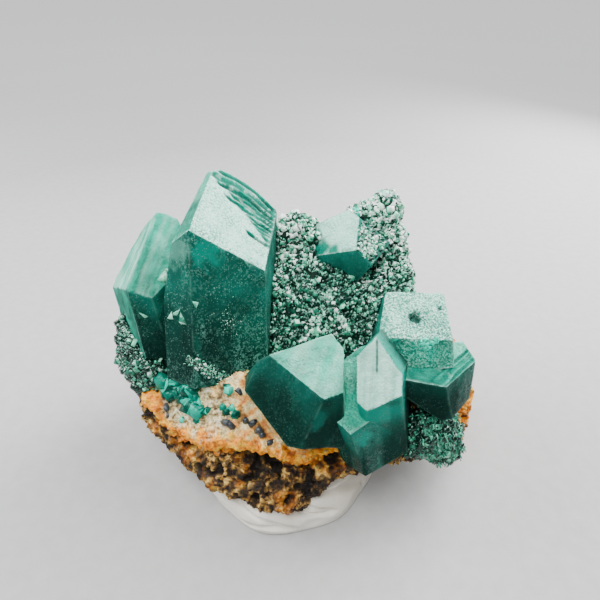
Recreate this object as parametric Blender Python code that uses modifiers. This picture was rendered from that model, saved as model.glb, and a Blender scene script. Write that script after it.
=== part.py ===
"""Dioptase specimen: crystals and druse on iron-stained rock, standing in a foot of mounting putty.

Metres, +Z up. The origin is on the flat underside of the putty, under the middle of the specimen.
+X runs along the specimen's width and -Y is the side that shows the best crystals.

A crystal is a block sliced down to its faces: six prism faces round the c axis, three end faces that slope
away from it, and a few faces where it broke or where a neighbour stopped it. Its faces are named p0 to p5
and a, b, c. The ideal form has prism faces every 60 degrees and end faces that rise 39 degrees, and a real
crystal has each face at its own distance from the middle.
"""

import math

import bmesh
import bpy
import numpy as np
from mathutils import Euler, Matrix, Vector, noise

MM = 0.001
GAP = 0.08 * MM  # left between neighbouring pieces
ROUGH_GAP = 0.2 * MM  # left round the crusts and the rock, whose surfaces are rougher
BLOCK = 60 * MM  # the block that each crystal is sliced from

# Ideal form: azimuth round the c axis and rise of each face's normal, in degrees
PRISM = {f"p{i}": (30 + 60 * i, 0) for i in range(6)}
ENDS = {"a": (0, 39), "b": (120, 39), "c": (240, 39)}
DOWN = (0, -90)  # the broken root, square to the c axis
UP = (0, 90)

# Crystals. place: a point inside, in mm. lean: the c axis from vertical. toward: the azimuth it leans to.
# turn: about the c axis. reach: each face's distance from the place, in mm. skew: faces off the ideal form.
TALL = dict(
    place=(-6.6, 7.1, 14.4), lean=22, toward=86, turn=-122,
    reach=dict(p0=5.3, p1=5.2, p2=5.2, p3=2.4, p4=5.0, p5=5.2, a=6.2, b=6.5, c=5.8, tip=9.6, shoulder=2.5, root=6.4),
    skew=dict(p0=(29, 2), p4=(270, -1), p5=(332, -1), b=(118, 37), tip=UP, shoulder=(-148, 13), root=DOWN),
)
LEFT = dict(
    place=(-11.5, 7.5, 13.6), lean=8, toward=141, turn=170,
    reach=dict(p0=4.0, p1=3.2, p2=3.2, p3=4.5, p4=2.7, p5=4.8, a=5.0, b=5.4, c=3.0, tip=7.0, root=6.6),
    skew=dict(p0=(13, 0), p3=(210, 1), p4=(261, 3), p5=(329, 0), a=(-1, 39), b=(126, 39), c=(242, 40), tip=UP, root=DOWN),
)
FRONT_LEFT = dict(
    place=(0.8, -1.2, 9.5), lean=35, toward=50, turn=-142,
    reach=dict(p0=3.9, p1=4.0, p2=4.0, p3=4.0, p4=4.4, p5=3.6, a=4.6, b=4.1, c=3.8, side=3.7, root=1.3, heel=2.0,
               toe=2.4),
    skew=dict(p0=(28, -2), p4=(270, 3), p5=(341, -1), a=(-4, 45), b=(121, 40), c=(239, 41), side=(79, 24),
              root=(200, -76), heel=(-81, -59), toe=(48, -73)),
)
FRONT_RIGHT = dict(
    place=(7.0, -1.8, 10.4), lean=10, toward=-160, turn=55,
    reach=dict(p0=1.8, p1=1.9, p2=3.2, p3=3.2, p4=1.2, p5=2.3, a=3.0, b=3.3, c=3.7, root=5.2),
    skew=dict(p0=(23, -4), p1=(91, 1), p4=(272, -2), p5=(332, 1), a=(0, 42), b=(114, 30), c=(245, 33), root=DOWN),
)
FRONT_LOW = dict(
    place=(7.0, -1.8, 10.4), lean=10, toward=-160, turn=55,
    reach=dict(p0=1.5, p1=1.6, p2=2.8, p3=2.8, p4=4.0, p5=3.7, a=1.5, b=2.6, c=4.2, root=4.4),
    skew=dict(p0=(41, 9), p4=(316, -2), p5=(334, 0), a=(28, 58), root=DOWN),
)
RIGHT_UPPER = dict(
    place=(10.5, 3.4, 12.2), lean=40, toward=134, turn=174,
    reach=dict(p0=2.3, p1=3.0, p2=3.0, p3=3.0, p4=3.9, p5=3.2, a=2.6, b=2.9, c=3.6, root=0.8),
    skew=dict(p0=(53, -23), p5=(330, 1), a=(-4, 39), b=(122, 42), c=(237, 43), root=(-167, -65)),
)
RIGHT_LOWER = dict(
    place=(12.0, 1.2, 9.6), lean=0, toward=0, turn=0,
    reach=dict(p0=2.5, p1=2.7, p2=2.4, p3=1.2, p4=2.8, p5=3.0, a=2.8, slant=1.8, under=1.9, root=2.6),
    skew=dict(p0=(-48, 14), p1=(-22, 5), p2=(18, 0), p3=(100, 0), p4=(176, -8), p5=(-97, 1), a=(-56, 79),
              slant=(-156, -49), under=(-31, -57), root=DOWN),
)
BACK = dict(
    place=(5.3, 10.2, 16.4), lean=60, toward=153, turn=127,
    reach=dict(p0=2.7, p1=2.6, p2=2.2, p3=2.2, p4=3.0, p5=2.2, a=2.0, b=2.8, c=2.8, root=2.2),
    skew=dict(p0=(29, -1), p4=(270, 8), p5=(326, 4), b=(125, 46), c=(241, 38), root=DOWN),
)

# Rock. One row for each station along X, in mm: x, then the lip of the ledge (y, z), the toe under it (y, z),
# how far back the rock reaches (y) and how high its back rises (z).
ROCK = (
    (-13.6, 3.9, 7.4, 4.2, 6.2, 10.6, 10.0, 1.3),
    (-12.4, 1.4, 7.7, 1.4, 5.8, 12.0, 11.4, 1.9),
    (-10.7, -0.3, 7.3, -0.7, 4.4, 12.8, 12.6, 2.7),
    (-8.5, -2.2, 5.9, -2.2, 3.3, 13.2, 14.0, 4.8),
    (-6.4, -3.4, 7.1, -3.6, 2.7, 12.8, 15.2, 4.8),
    (-3.6, -3.9, 7.8, -5.9, 2.0, 13.0, 15.8, 2.7),
    (-0.9, -4.1, 6.8, -6.5, 1.8, 13.4, 16.0, 2.4),
    (1.2, -4.1, 6.1, -6.2, 2.2, 13.4, 16.0, 3.2),
    (2.8, -3.9, 6.4, -5.0, 3.6, 13.6, 16.4, 3.2),
    (5.2, -3.0, 6.8, -3.6, 4.4, 14.0, 17.2, 3.2),
    (8.2, -2.0, 6.8, -2.6, 4.0, 14.0, 17.6, 3.2),
    (11.2, -1.2, 6.8, -2.0, 3.4, 11.6, 13.0, 3.1),
    (13.8, -0.6, 7.9, -1.4, 3.4, 9.4, 11.0, 1.6),
    (15.0, 1.0, 8.6, 0.6, 4.6, 6.4, 9.2, 0.3),
)
ROCK_SOLE = 1.2 * MM  # the rock's underside, pressed into the putty
ROCK_ROUGH = 0.9 * MM
ROCK_SEED = (4.1, 2.7, 9.3)
ROCK_KEPT = 0.42  # the share of its faces that the rock keeps

# Druse. One row for each lump, in mm: centre (x, y, z), radii (x, y, z) and its slope about X in degrees
DRUSE_MIDDLE = (
    (2.6, 7.2, 12.2, 6.6, 7.6, 2.6, 35),
    (0.6, 11.9, 16.9, 2.2, 2.0, 1.9, 0),
    (3.0, 11.8, 16.0, 2.2, 2.0, 1.7, 0),
    (8.6, 13.0, 18.7, 1.4, 1.9, 1.9, 0),
    (7.0, 12.7, 17.7, 1.9, 1.9, 1.9, 0),
    (8.6, 11.2, 16.2, 1.8, 2.4, 2.2, 0),
    (9.0, 9.0, 14.2, 1.9, 2.6, 2.2, 0),
    (8.4, 6.4, 12.4, 3.0, 3.0, 2.2, 0),
)
DRUSE_LEFT = (
    (-12.6, 4.9, 8.9, 2.3, 2.1, 2.7, 0),
    (-11.2, 3.6, 8.4, 2.2, 2.2, 3.2, 0),
    (-13.2, 7.2, 9.8, 2.0, 2.6, 2.6, 0),
)
DRUSE_RIGHT = (
    (11.2, -0.1, 5.6, 2.9, 2.6, 2.7, 0),
    (9.2, -0.3, 5.6, 2.0, 2.2, 2.3, 0),
    (12.7, -0.6, 4.4, 1.9, 1.9, 1.8, 0),
)
DRUSE_CELL = 0.78 * MM
DRUSE_JITTER = 0.26 * MM

# Small crystals on the cream top: place in mm, lean, toward and turn in degrees, radius and height in mm
TEAL = (
    (-9.4, 0.8, 9.3, 30, 250, 10, 0.80, 1.5),
    (-8.9, 0.5, 9.7, 35, 280, 40, 0.70, 1.4),
    (-8.4, 0.2, 9.6, 40, 265, 25, 0.75, 1.5),
    (-9.0, 0.2, 9.0, 45, 250, 50, 0.62, 1.3),
    (-7.8, -0.3, 9.7, 35, 290, 15, 0.62, 1.3),
    (-8.0, -0.5, 9.1, 50, 270, 5, 0.55, 1.1),
    (-7.3, -0.7, 9.4, 40, 300, 30, 0.50, 1.0),
)

# Putty
PUTTY_FRONT = 6.3 * MM
PUTTY_BACK = 9.0 * MM
PUTTY_HALF_WIDTH = 7.3 * MM
PUTTY_HEIGHT = 3.8 * MM


def material(name, colour, roughness):
    """A Principled material with the piece's plain colour."""
    made = bpy.data.materials.new(name)
    made.use_nodes = True
    shader = made.node_tree.nodes["Principled BSDF"]
    shader.inputs["Base Color"].default_value = (*colour, 1)
    shader.inputs["Roughness"].default_value = roughness
    shader.inputs["Metallic"].default_value = 0
    made.diffuse_color = (*colour, 1)
    return made


def piece(name, bm, made_of, collection):
    """A named object from a bmesh, with its material."""
    bmesh.ops.recalc_face_normals(bm, faces=bm.faces)
    mesh = bpy.data.meshes.new(name)
    bm.to_mesh(mesh)
    bm.free()
    if made_of:
        mesh.materials.append(made_of)
    made = bpy.data.objects.new(name, mesh)
    collection.objects.link(made)
    return made


def direction(azimuth, rise):
    """Unit vector at an azimuth round Z and a rise above the XY plane, in degrees."""
    azimuth = math.radians(azimuth)
    rise = math.radians(rise)
    return Vector((math.cos(rise) * math.cos(azimuth), math.cos(rise) * math.sin(azimuth), math.sin(rise)))


def frame_of(place, lean, toward, turn):
    """The crystal's frame: its c axis is Z turned by lean toward an azimuth, then turned about itself."""
    spin = Matrix.Rotation(math.radians(toward), 4, "Z") @ Matrix.Rotation(math.radians(lean), 4, "Y")
    return Matrix.Translation(Vector(place) * MM) @ spin @ Matrix.Rotation(math.radians(turn), 4, "Z")


def slice_off(bm, point, normal):
    """Cuts away what lies outside one plane and closes the cut with a flat face."""
    everything = bm.verts[:] + bm.edges[:] + bm.faces[:]
    cut = bmesh.ops.bisect_plane(
        bm, geom=everything, dist=1e-7, plane_co=point, plane_no=normal, clear_outer=True
    )
    edges = [part for part in cut["geom_cut"] if isinstance(part, bmesh.types.BMEdge)]
    if edges:
        bmesh.ops.contextual_create(bm, geom=edges)


def crystal(spec, grow=0.0):
    """A bmesh of one crystal. With grow, each face stands that much further out."""
    frame = frame_of(spec["place"], spec["lean"], spec["toward"], spec["turn"])
    turned = frame.to_3x3()
    faces = {**PRISM, **ENDS, **spec["skew"]}
    bm = bmesh.new()
    bmesh.ops.create_cube(bm, size=BLOCK, matrix=frame)
    for name, reach in spec["reach"].items():
        normal = turned @ direction(*faces[name])
        slice_off(bm, frame.translation + normal * (reach * MM + grow), normal)
    return bm


def stub(row, grow=0.0):
    """A small crystal: a short hexagonal prism with three sloping end faces."""
    *place, lean, toward, turn, radius, height = row
    sides = {f"p{i}": radius for i in range(6)}
    ends = {end: height * 0.62 for end in ENDS}
    spec = dict(place=place, lean=lean, toward=toward, turn=turn)
    spec["reach"] = {**sides, **ends, "root": height * 0.6}
    spec["skew"] = dict(root=DOWN)
    return crystal(spec, grow)


def boolean(target, other, operation, solver="EXACT"):
    """Applies one Boolean to the target and removes the other object."""
    step = target.modifiers.new(operation.lower(), "BOOLEAN")
    step.operation = operation
    step.solver = solver
    step.object = other
    apply_modifiers(target)
    bpy.data.objects.remove(other)


def apply_modifiers(target):
    """Replaces the object's mesh by its evaluated one."""
    graph = bpy.context.evaluated_depsgraph_get()
    old = target.data
    mesh = bpy.data.meshes.new_from_object(target.evaluated_get(graph))
    target.modifiers.clear()
    target.data = mesh
    mesh.name = target.name
    bpy.data.meshes.remove(old)


def keep_largest(target):
    """Keeps the largest connected body of a mesh, without the chips that a cut leaves beside it."""
    bm = bmesh.new()
    bm.from_mesh(target.data)
    left = set(bm.faces)
    bodies = []
    while left:
        found = []
        border = [left.pop()]
        while border:
            face = border.pop()
            found.append(face)
            whole = [edge for edge in face.edges if len(edge.link_faces) == 2]
            beside = {other for edge in whole for other in edge.link_faces} & left
            left -= beside
            border.extend(beside)
        bodies.append(found)
    bodies.sort(key=lambda body: sum(face.calc_area() for face in body))
    loose = [face for body in bodies[:-1] for face in body]
    bmesh.ops.delete(bm, geom=loose, context="FACES")
    bm.to_mesh(target.data)
    bm.free()


def united(name, bodies, made_of, collection):
    """One object from overlapping bmeshes, joined by Boolean unions."""
    joined = piece(name, bodies[0], made_of, collection)
    for body in bodies[1:]:
        boolean(joined, piece("joint", body, None, collection), "UNION")
    return joined


def rock_section(row):
    """Points (x, y, z) round the rock at one station, from the lip clockwise as seen from +X."""
    x, lip_y, lip_z, toe_y, toe_z, back_y, crest_z, climb = (value * MM for value in row)
    middle = (lip_y + back_y) / 2
    sole = max(ROCK_SOLE, toe_z * 0.9)
    drop = lip_z - toe_z
    return [
        (x, lip_y, lip_z),
        (x, lip_y + 0.30 * drop, lip_z - 0.24 * drop),
        (x, 0.4 * lip_y + 0.6 * toe_y, lip_z - 0.55 * drop),
        (x, toe_y, toe_z),
        (x, toe_y + 0.25 * (middle - toe_y), sole),
        (x, middle, sole),
        (x, middle + 0.6 * (back_y - middle), sole + 0.12 * (crest_z - sole)),
        (x, back_y, sole + 0.45 * (crest_z - sole)),
        (x, back_y - 0.06 * (back_y - lip_y), crest_z - 0.12 * (crest_z - sole)),
        (x, back_y - 0.22 * (back_y - lip_y), crest_z),
        (x, middle + 0.2 * (back_y - middle), lip_z + climb + 0.35 * (crest_z - lip_z - climb)),
        (x, lip_y + 0.45 * (middle - lip_y), lip_z + climb),
        (x, lip_y + 0.15 * (middle - lip_y), lip_z + 0.3 * climb),
    ]


def rough(point, seed, coarse, fine):
    """Height of a rocky relief at a point: broad lumps and finer pits, between about -1 and 1."""
    at = Vector(point) + Vector(seed)
    broad = noise.fractal(at * coarse, 1.0, 2.0, 3)
    pits = noise.noise(at * fine)
    return 0.75 * broad + 0.45 * pits


def rock(name, made_of, collection):
    """The matrix: a loft between unlike sections, smoothed and then roughened along its normals."""
    bm = bmesh.new()
    rings = [[bm.verts.new(point) for point in rock_section(row)] for row in ROCK]
    for near, far in zip(rings, rings[1:]):
        for i in range(len(near)):
            j = (i + 1) % len(near)
            bm.faces.new((near[i], near[j], far[j], far[i]))
    bm.faces.new(rings[0])
    bm.faces.new(rings[-1])
    bmesh.ops.triangulate(bm, faces=[face for face in bm.faces if len(face.verts) > 4])
    made = piece(name, bm, made_of, collection)
    soft = made.modifiers.new("soft", "SUBSURF")
    soft.levels = soft.render_levels = 2
    apply_modifiers(made)
    bm = bmesh.new()
    bm.from_mesh(made.data)
    bm.normal_update()
    moves = [vert.normal * ROCK_ROUGH * rough(vert.co, ROCK_SEED, 240, 900) for vert in bm.verts]
    for vert, move in zip(bm.verts, moves):
        vert.co += move
    bm.to_mesh(made.data)
    bm.free()
    fewer = made.modifiers.new("fewer", "DECIMATE")
    fewer.ratio = ROCK_KEPT
    apply_modifiers(made)
    return made


def druse(name, lumps, made_of, collection, seed):
    """A crust: lumps fused by a voxel remesh, then jittered so that it ends in small facets."""
    bm = bmesh.new()
    for x, y, z, rx, ry, rz, slope in lumps:
        place = Matrix.LocRotScale(
            Vector((x, y, z)) * MM, Euler((math.radians(slope), 0, 0)), Vector((rx, ry, rz)) * MM
        )
        bmesh.ops.create_icosphere(bm, subdivisions=4, radius=1, matrix=place)
    made = piece(name, bm, made_of, collection)
    fused = made.modifiers.new("fused", "REMESH")
    fused.mode = "VOXEL"
    fused.voxel_size = DRUSE_CELL
    apply_modifiers(made)
    bm = bmesh.new()
    bm.from_mesh(made.data)
    bm.normal_update()
    picker = np.random.default_rng(seed)
    amounts = picker.uniform(-1, 1, len(bm.verts))
    moves = [vert.normal * DRUSE_JITTER * amount for vert, amount in zip(bm.verts, amounts)]
    for vert, move in zip(bm.verts, moves):
        vert.co += move
    bm.to_mesh(made.data)
    bm.free()
    return made


def swollen(source, gap):
    """A bmesh of an object with its surface moved out by a gap."""
    bm = bmesh.new()
    bm.from_mesh(source.data)
    bm.normal_update()
    moves = [vert.normal * gap for vert in bm.verts]
    for vert, move in zip(bm.verts, moves):
        vert.co += move
    return bm


def putty(name, made_of, collection):
    """The foot: a low, uneven mound pressed flat underneath."""
    bm = bmesh.new()
    bmesh.ops.create_uvsphere(bm, u_segments=36, v_segments=18, radius=1)
    for vert in bm.verts:
        unit = vert.co.copy()
        angle = math.atan2(unit.y, unit.x)
        reach_y = PUTTY_FRONT if unit.y < 0 else PUTTY_BACK
        wave = 1 + 0.03 * math.sin(3 * angle + 0.6) + 0.02 * math.sin(7 * angle + 1.9)
        level = max(unit.z, 0.0) ** 0.8
        fold = 0.035 * noise.noise(unit * 2.6) * min(1.0, 4 * level)
        vert.co.x = unit.x * PUTTY_HALF_WIDTH * (wave + fold)
        vert.co.y = unit.y * reach_y * (wave + fold)
        vert.co.z = PUTTY_HEIGHT * (level + 0.8 * fold) if unit.z > 0 else unit.z * PUTTY_HEIGHT
    slice_off(bm, Vector((0, 0, 0)), Vector((0, 0, -1)))
    return piece(name, bm, made_of, collection)


def main():
    for old in list(bpy.data.objects):
        bpy.data.objects.remove(old)
    parts = bpy.data.collections.new("dioptase_specimen")
    bpy.context.scene.collection.children.link(parts)

    emerald = material("emerald crystal", (0.010, 0.160, 0.110), 0.22)
    crust = material("sparkling crust", (0.120, 0.300, 0.220), 0.45)
    stone = material("iron-stained rock", (0.420, 0.230, 0.090), 0.85)
    bright = material("teal crystal", (0.010, 0.330, 0.240), 0.25)
    white = material("white putty", (0.800, 0.790, 0.750), 0.60)

    groups = {
        "main_crystals": (TALL, LEFT),
        "front_crystals": (FRONT_LEFT, FRONT_RIGHT, FRONT_LOW),
        "right_crystals": (RIGHT_UPPER, RIGHT_LOWER),
        "back_crystal": (BACK,),
    }
    solids = {}
    around = {}  # for each piece, the shapes that it takes out of the pieces after it
    for name, specs in groups.items():
        solids[name] = united(name, [crystal(spec) for spec in specs], emerald, parts)
        around[name] = [crystal(spec, GAP) for spec in specs]
    solids["teal_crystals"] = united("teal_crystals", [stub(row) for row in TEAL], bright, parts)
    around["teal_crystals"] = [stub(row, GAP) for row in TEAL]
    crusts = {"druse_middle": DRUSE_MIDDLE, "druse_left": DRUSE_LEFT, "druse_right": DRUSE_RIGHT}
    for seed, (name, lumps) in enumerate(crusts.items()):
        solids[name] = druse(name, lumps, crust, parts, seed)
        around[name] = [swollen(solids[name], ROUGH_GAP)]
    solids["matrix"] = rock("matrix", stone, parts)
    around["matrix"] = [swollen(solids["matrix"], ROUGH_GAP)]
    solids["putty_foot"] = putty("putty_foot", white, parts)

    # Each piece gives way to the ones before it in this order
    order = ["front_crystals", "right_crystals", "main_crystals", "back_crystal", "teal_crystals"]
    order += [*crusts, "matrix", "putty_foot"]
    for place, name in enumerate(order):
        for first in order[:place]:
            # A rough surface touches itself in places, which the exact solver takes for a hollow
            for shape in around[first]:
                boolean(solids[name], piece("cutter", shape.copy(), None, parts), "DIFFERENCE", "MANIFOLD")
        keep_largest(solids[name])


main()
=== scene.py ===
# %% [markdown]
# # Dressing a dioptase specimen
# Dioptase grows as short six-sided crystals of a deep green, each ended by three sloping faces that are often
# frosted. This one is a small group of them on a piece of iron-stained rock, with a sparkling crust of tiny
# crystals between the large ones, and it stands in a foot of white putty.
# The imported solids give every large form. This lesson adds what the eye reads from a step away: clear green
# depth, frost on the end faces, thousands of tiny crystals, and the grain and colours of the rock.

# %% Load the fixed frame
import itertools
import math

import bmesh
import bpy
import numpy as np
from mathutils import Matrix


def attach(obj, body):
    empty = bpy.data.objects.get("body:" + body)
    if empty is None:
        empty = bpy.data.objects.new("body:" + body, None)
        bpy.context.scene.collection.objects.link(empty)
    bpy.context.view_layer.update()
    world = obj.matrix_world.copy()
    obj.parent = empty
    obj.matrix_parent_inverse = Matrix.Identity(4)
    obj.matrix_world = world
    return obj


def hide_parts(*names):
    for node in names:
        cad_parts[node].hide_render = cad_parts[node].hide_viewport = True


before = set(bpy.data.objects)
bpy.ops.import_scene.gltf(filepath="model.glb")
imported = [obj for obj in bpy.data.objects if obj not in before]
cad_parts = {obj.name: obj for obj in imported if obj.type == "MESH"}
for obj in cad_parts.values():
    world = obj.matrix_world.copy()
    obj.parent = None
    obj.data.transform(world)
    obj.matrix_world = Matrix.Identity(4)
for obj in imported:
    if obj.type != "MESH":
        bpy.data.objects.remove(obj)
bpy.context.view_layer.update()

MM = 0.001
print("solids:", ", ".join(sorted(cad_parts)))

# %% [markdown]
# ## Noise made of arrays
# Natural surfaces need numbers that look random but vary smoothly. One way is Blender's own noise module, which
# takes one point at a time. Here whole arrays of points go in at once, so a surface of fifty thousand points
# takes a fraction of a second. Two kinds are enough: cloudy noise for lumps and stains, and cell noise for
# anything that grows from scattered seeds, such as nodules, pits and grains.

# %% Cloudy noise and cell noise


def cell_value(cells, seed):
    """A repeatable number from 0 to 1 for each whole cell (i, j, k): the three are multiplied by large odd
    numbers, mixed bit by bit, and the low 16 bits are kept."""
    i, j, k = (cells[..., axis].astype(np.int64).astype(np.uint32) for axis in range(3))
    mixed = i * np.uint32(73856093) ^ j * np.uint32(19349663) ^ k * np.uint32(83492791)
    mixed = mixed ^ np.uint32(seed * 7919 + 17)
    mixed = (mixed ^ (mixed >> np.uint32(13))) * np.uint32(1274126177)
    return ((mixed ^ (mixed >> np.uint32(16))) & np.uint32(0xFFFF)) / 65535.0


def smooth_noise(points, seed):
    """From -1 to 1: the numbers at a cell's eight corners, blended across it by 3t² - 2t³ along each axis."""
    low = np.floor(points)
    part = points - low
    part = part * part * (3 - 2 * part)
    total = np.zeros(points.shape[:-1])
    for corner in itertools.product((0, 1), repeat=3):
        share = np.where(np.array(corner) == 1, part, 1 - part).prod(-1)
        total += share * cell_value(low + corner, seed)
    return 2 * total - 1


def cloudy(points, octaves=3, seed=0):
    """Smooth noise plus half as much at twice the fineness, and so on, scaled back to about -1 to 1."""
    total = sum(smooth_noise(points * 2**k + 5.3 * k, seed + k) / 2**k for k in range(octaves))
    return 0.8 * total


def near_seeds(points, seed=0):
    """Distance to the nearest of scattered seeds, one in each unit cell, and that seed's own number from 0 to 1."""
    low = np.floor(points)
    nearest = np.full(points.shape[:-1], 9.0)
    number = np.zeros_like(nearest)
    for step in itertools.product((-1, 0, 1), repeat=3):
        cell = low + step
        place = cell + np.stack([cell_value(cell, seed + 31 * axis) for axis in range(3)], -1)
        away = np.linalg.norm(place - points, axis=-1)
        nearer = away < nearest
        number = np.where(nearer, cell_value(cell, seed + 99), number)
        nearest = np.where(nearer, away, nearest)
    return nearest, number


def ease(low, high, value):
    """0 below low, 1 above high, and 3t² - 2t³ between them."""
    part = np.clip((value - low) / (high - low), 0, 1)
    return part * part * (3 - 2 * part)


print("cloudy noise at the origin:", round(float(cloudy(np.zeros((1, 3)))[0]), 3))

# %% [markdown]
# ## From arrays to a mesh
# Each piece is worked out in millimetres as an array of points and arrays of four-sided and three-sided faces.
# This helper writes them into a mesh in one go, with any number per point (an attribute) that its material
# will read, joins the points that lie on each other, and leaves the piece at the origin.

# %% A mesh from arrays
JOINED = 2e-8  # points closer than this, in metres, become one
print("points are joined within", JOINED / MM, "mm")


def make_piece(name, points, quads, tris, materials, marks=None, slots=None, sharp=None):
    """A mesh piece from points in mm. marks: attribute name and one number a point or a face. slots: a material
    number for each face. sharp: the angle in degrees above which an edge stays crisp, or None for flat faces."""
    quads = np.asarray(quads, np.int32).reshape(-1, 4)
    tris = np.asarray(tris, np.int32).reshape(-1, 3)
    faces = len(quads) + len(tris)
    mesh = bpy.data.meshes.new(name)
    mesh.vertices.add(len(points))
    mesh.vertices.foreach_set("co", (np.asarray(points) * MM).astype(np.float32).ravel())
    mesh.loops.add(quads.size + tris.size)
    mesh.loops.foreach_set("vertex_index", np.concatenate([quads.ravel(), tris.ravel()]))
    mesh.polygons.add(faces)
    starts = np.concatenate([np.arange(len(quads)) * 4, quads.size + np.arange(len(tris)) * 3])
    mesh.polygons.foreach_set("loop_start", starts.astype(np.int32))
    if slots is not None:
        mesh.polygons.foreach_set("material_index", np.asarray(slots, np.int32))
    for label, values in (marks or {}).items():
        layer = mesh.attributes.new(label, "FLOAT", "FACE" if len(values) == faces else "POINT")
        layer.data.foreach_set("value", np.asarray(values, np.float32))
    mesh.update(calc_edges=True)
    for made in materials:
        mesh.materials.append(made)
    bm = bmesh.new()
    bm.from_mesh(mesh)
    bmesh.ops.remove_doubles(bm, verts=bm.verts, dist=JOINED)
    bmesh.ops.dissolve_degenerate(bm, edges=bm.edges, dist=JOINED / 20)
    bm.to_mesh(mesh)
    bm.free()
    if sharp is not None:
        mesh.shade_smooth()
        mesh.set_sharp_from_angle(angle=math.radians(sharp))
    piece = bpy.data.objects.new(name, mesh)
    bpy.context.scene.collection.objects.link(piece)
    print(f"{name}: {sum(len(face.vertices) - 2 for face in mesh.polygons)} triangles")
    return piece


# %% [markdown]
# ## Shader groups that several finishes share
# A shader group is like a function: it is built once and placed in each material with its own values. Four
# effects are shared here. Grain is fine unevenness with a matching bump. Specks are the scattered bright or dark
# dots of dust and tiny pits. Clouds are the soft patches seen inside a crystal, which stretch along its length.
# Pits are the winding marks that etching leaves on a face.

# %% Helpers for shader trees


def put(tree, socket, value):
    """Feeds a node's input: a link from an output, or a value, where a colour gets full cover."""
    if isinstance(value, bpy.types.NodeSocket):
        tree.links.new(value, socket)
    else:
        socket.default_value = (*value, 1) if isinstance(value, tuple) and len(value) == 3 else value


def add(tree, kind, inputs=None, **settings):
    """A node with its settings, and its inputs by name or number."""
    node = tree.nodes.new(kind)
    for key, value in settings.items():
        setattr(node, key, value)
    for key, value in (inputs or {}).items():
        put(tree, node.inputs[key], value)
    return node


def ramp(tree, factor, stops):
    """The colour output of a ramp: stops are (place, grey) or (place, (r, g, b))."""
    node = add(tree, "ShaderNodeValToRGB", {"Fac": factor})
    while len(node.color_ramp.elements) < len(stops):
        node.color_ramp.elements.new(0.5)
    for element, (place, colour) in zip(node.color_ramp.elements, stops):
        element.position = place
        element.color = (colour, colour, colour, 1) if isinstance(colour, (int, float)) else (*colour, 1)
    return node.outputs["Color"]


def blend(tree, factor, first, second, kind="MIX"):
    """The colour output of a mix of two colours."""
    factor_at, first_at, second_at = 0, 6, 7  # a colour mix hides the inputs between these
    node = add(tree, "ShaderNodeMix", {factor_at: factor, first_at: first, second_at: second},
               data_type="RGBA", blend_type=kind)
    return node.outputs[2]


def arithmetic(tree, operation, first, second):
    """The output of a Math node."""
    return add(tree, "ShaderNodeMath", {0: first, 1: second}, operation=operation).outputs[0]


def times(tree, first, second):
    """The product of two numbers."""
    return arithmetic(tree, "MULTIPLY", first, second)


def new_group(name, inputs, outputs):
    """An empty shader group with named inputs (name: default) and outputs (name: socket kind)."""
    tree = bpy.data.node_groups.new(name, "ShaderNodeTree")
    for label, default in inputs.items():
        tree.interface.new_socket(name=label, in_out="INPUT", socket_type="NodeSocketFloat").default_value = default
    for label, kind in outputs.items():
        tree.interface.new_socket(name=label, in_out="OUTPUT", socket_type=kind)
    entry = tree.nodes.new("NodeGroupInput").outputs
    leave = tree.nodes.new("NodeGroupOutput").inputs
    place = tree.nodes.new("ShaderNodeTexCoord").outputs["Object"]
    return tree, entry, leave, place


print("shader helpers: put, add, ramp, blend, arithmetic, times and new_group")

# %% Grain, specks, clouds and pits
grain_group, entry, leave, place = new_group(
    "fine grain", {"Scale": 3000.0, "Bump": 0.2, "Height": 0.00005},
    {"Value": "NodeSocketFloat", "Normal": "NodeSocketVector"},
)
fine = add(grain_group, "ShaderNodeTexNoise", {"Vector": place, "Scale": entry["Scale"], "Detail": 3.0})
bump = add(grain_group, "ShaderNodeBump",
           {"Strength": entry["Bump"], "Distance": entry["Height"], "Height": fine.outputs[0]})
grain_group.links.new(fine.outputs[0], leave["Value"])
grain_group.links.new(bump.outputs[0], leave["Normal"])

speck_group, entry, leave, place = new_group(
    "specks", {"Scale": 4000.0, "Size": 0.2, "Share": 0.3}, {"Mask": "NodeSocketFloat"}
)
dots = add(speck_group, "ShaderNodeTexVoronoi", {"Vector": place, "Scale": entry["Scale"]})
round_dot = arithmetic(speck_group, "LESS_THAN", dots.outputs["Distance"], entry["Size"])
picked = add(speck_group, "ShaderNodeSeparateColor", {0: dots.outputs["Color"]}).outputs[0]
chosen = arithmetic(speck_group, "LESS_THAN", picked, entry["Share"])
speck_group.links.new(times(speck_group, round_dot, chosen), leave["Mask"])


def between(tree, value, entry):
    """0 below the group's Low, 1 above its High, and smooth between them."""
    node = add(tree, "ShaderNodeMapRange", {0: value, 1: entry["Low"], 2: entry["High"]},
               interpolation_type="SMOOTHSTEP")
    return node.outputs[0]


cloud_group, entry, leave, place = new_group(
    "inner clouds", {"Scale": 300.0, "Stretch": 0.35, "Low": 0.4, "High": 0.7}, {"Mask": "NodeSocketFloat"}
)
apart = add(cloud_group, "ShaderNodeSeparateXYZ", {0: place}).outputs
tall = add(cloud_group, "ShaderNodeCombineXYZ",
           {0: apart[0], 1: apart[1], 2: times(cloud_group, apart[2], entry["Stretch"])})
cloud = add(cloud_group, "ShaderNodeTexNoise", {
    "Vector": tall.outputs[0], "Scale": entry["Scale"], "Detail": 4.0, "Roughness": 0.6, "Distortion": 0.4,
})
cloud_group.links.new(between(cloud_group, cloud.outputs[0], entry), leave["Mask"])

pit_group, entry, leave, place = new_group(
    "etched pits", {"Scale": 7000.0, "Low": 0.5, "High": 0.57}, {"Mask": "NodeSocketFloat"}
)
wormy = add(pit_group, "ShaderNodeTexNoise",
            {"Vector": place, "Scale": entry["Scale"], "Detail": 1.5, "Distortion": 0.8})
pit_group.links.new(between(pit_group, wormy.outputs[0], entry), leave["Mask"])
print("groups:", ", ".join(group.name for group in bpy.data.node_groups))

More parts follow.
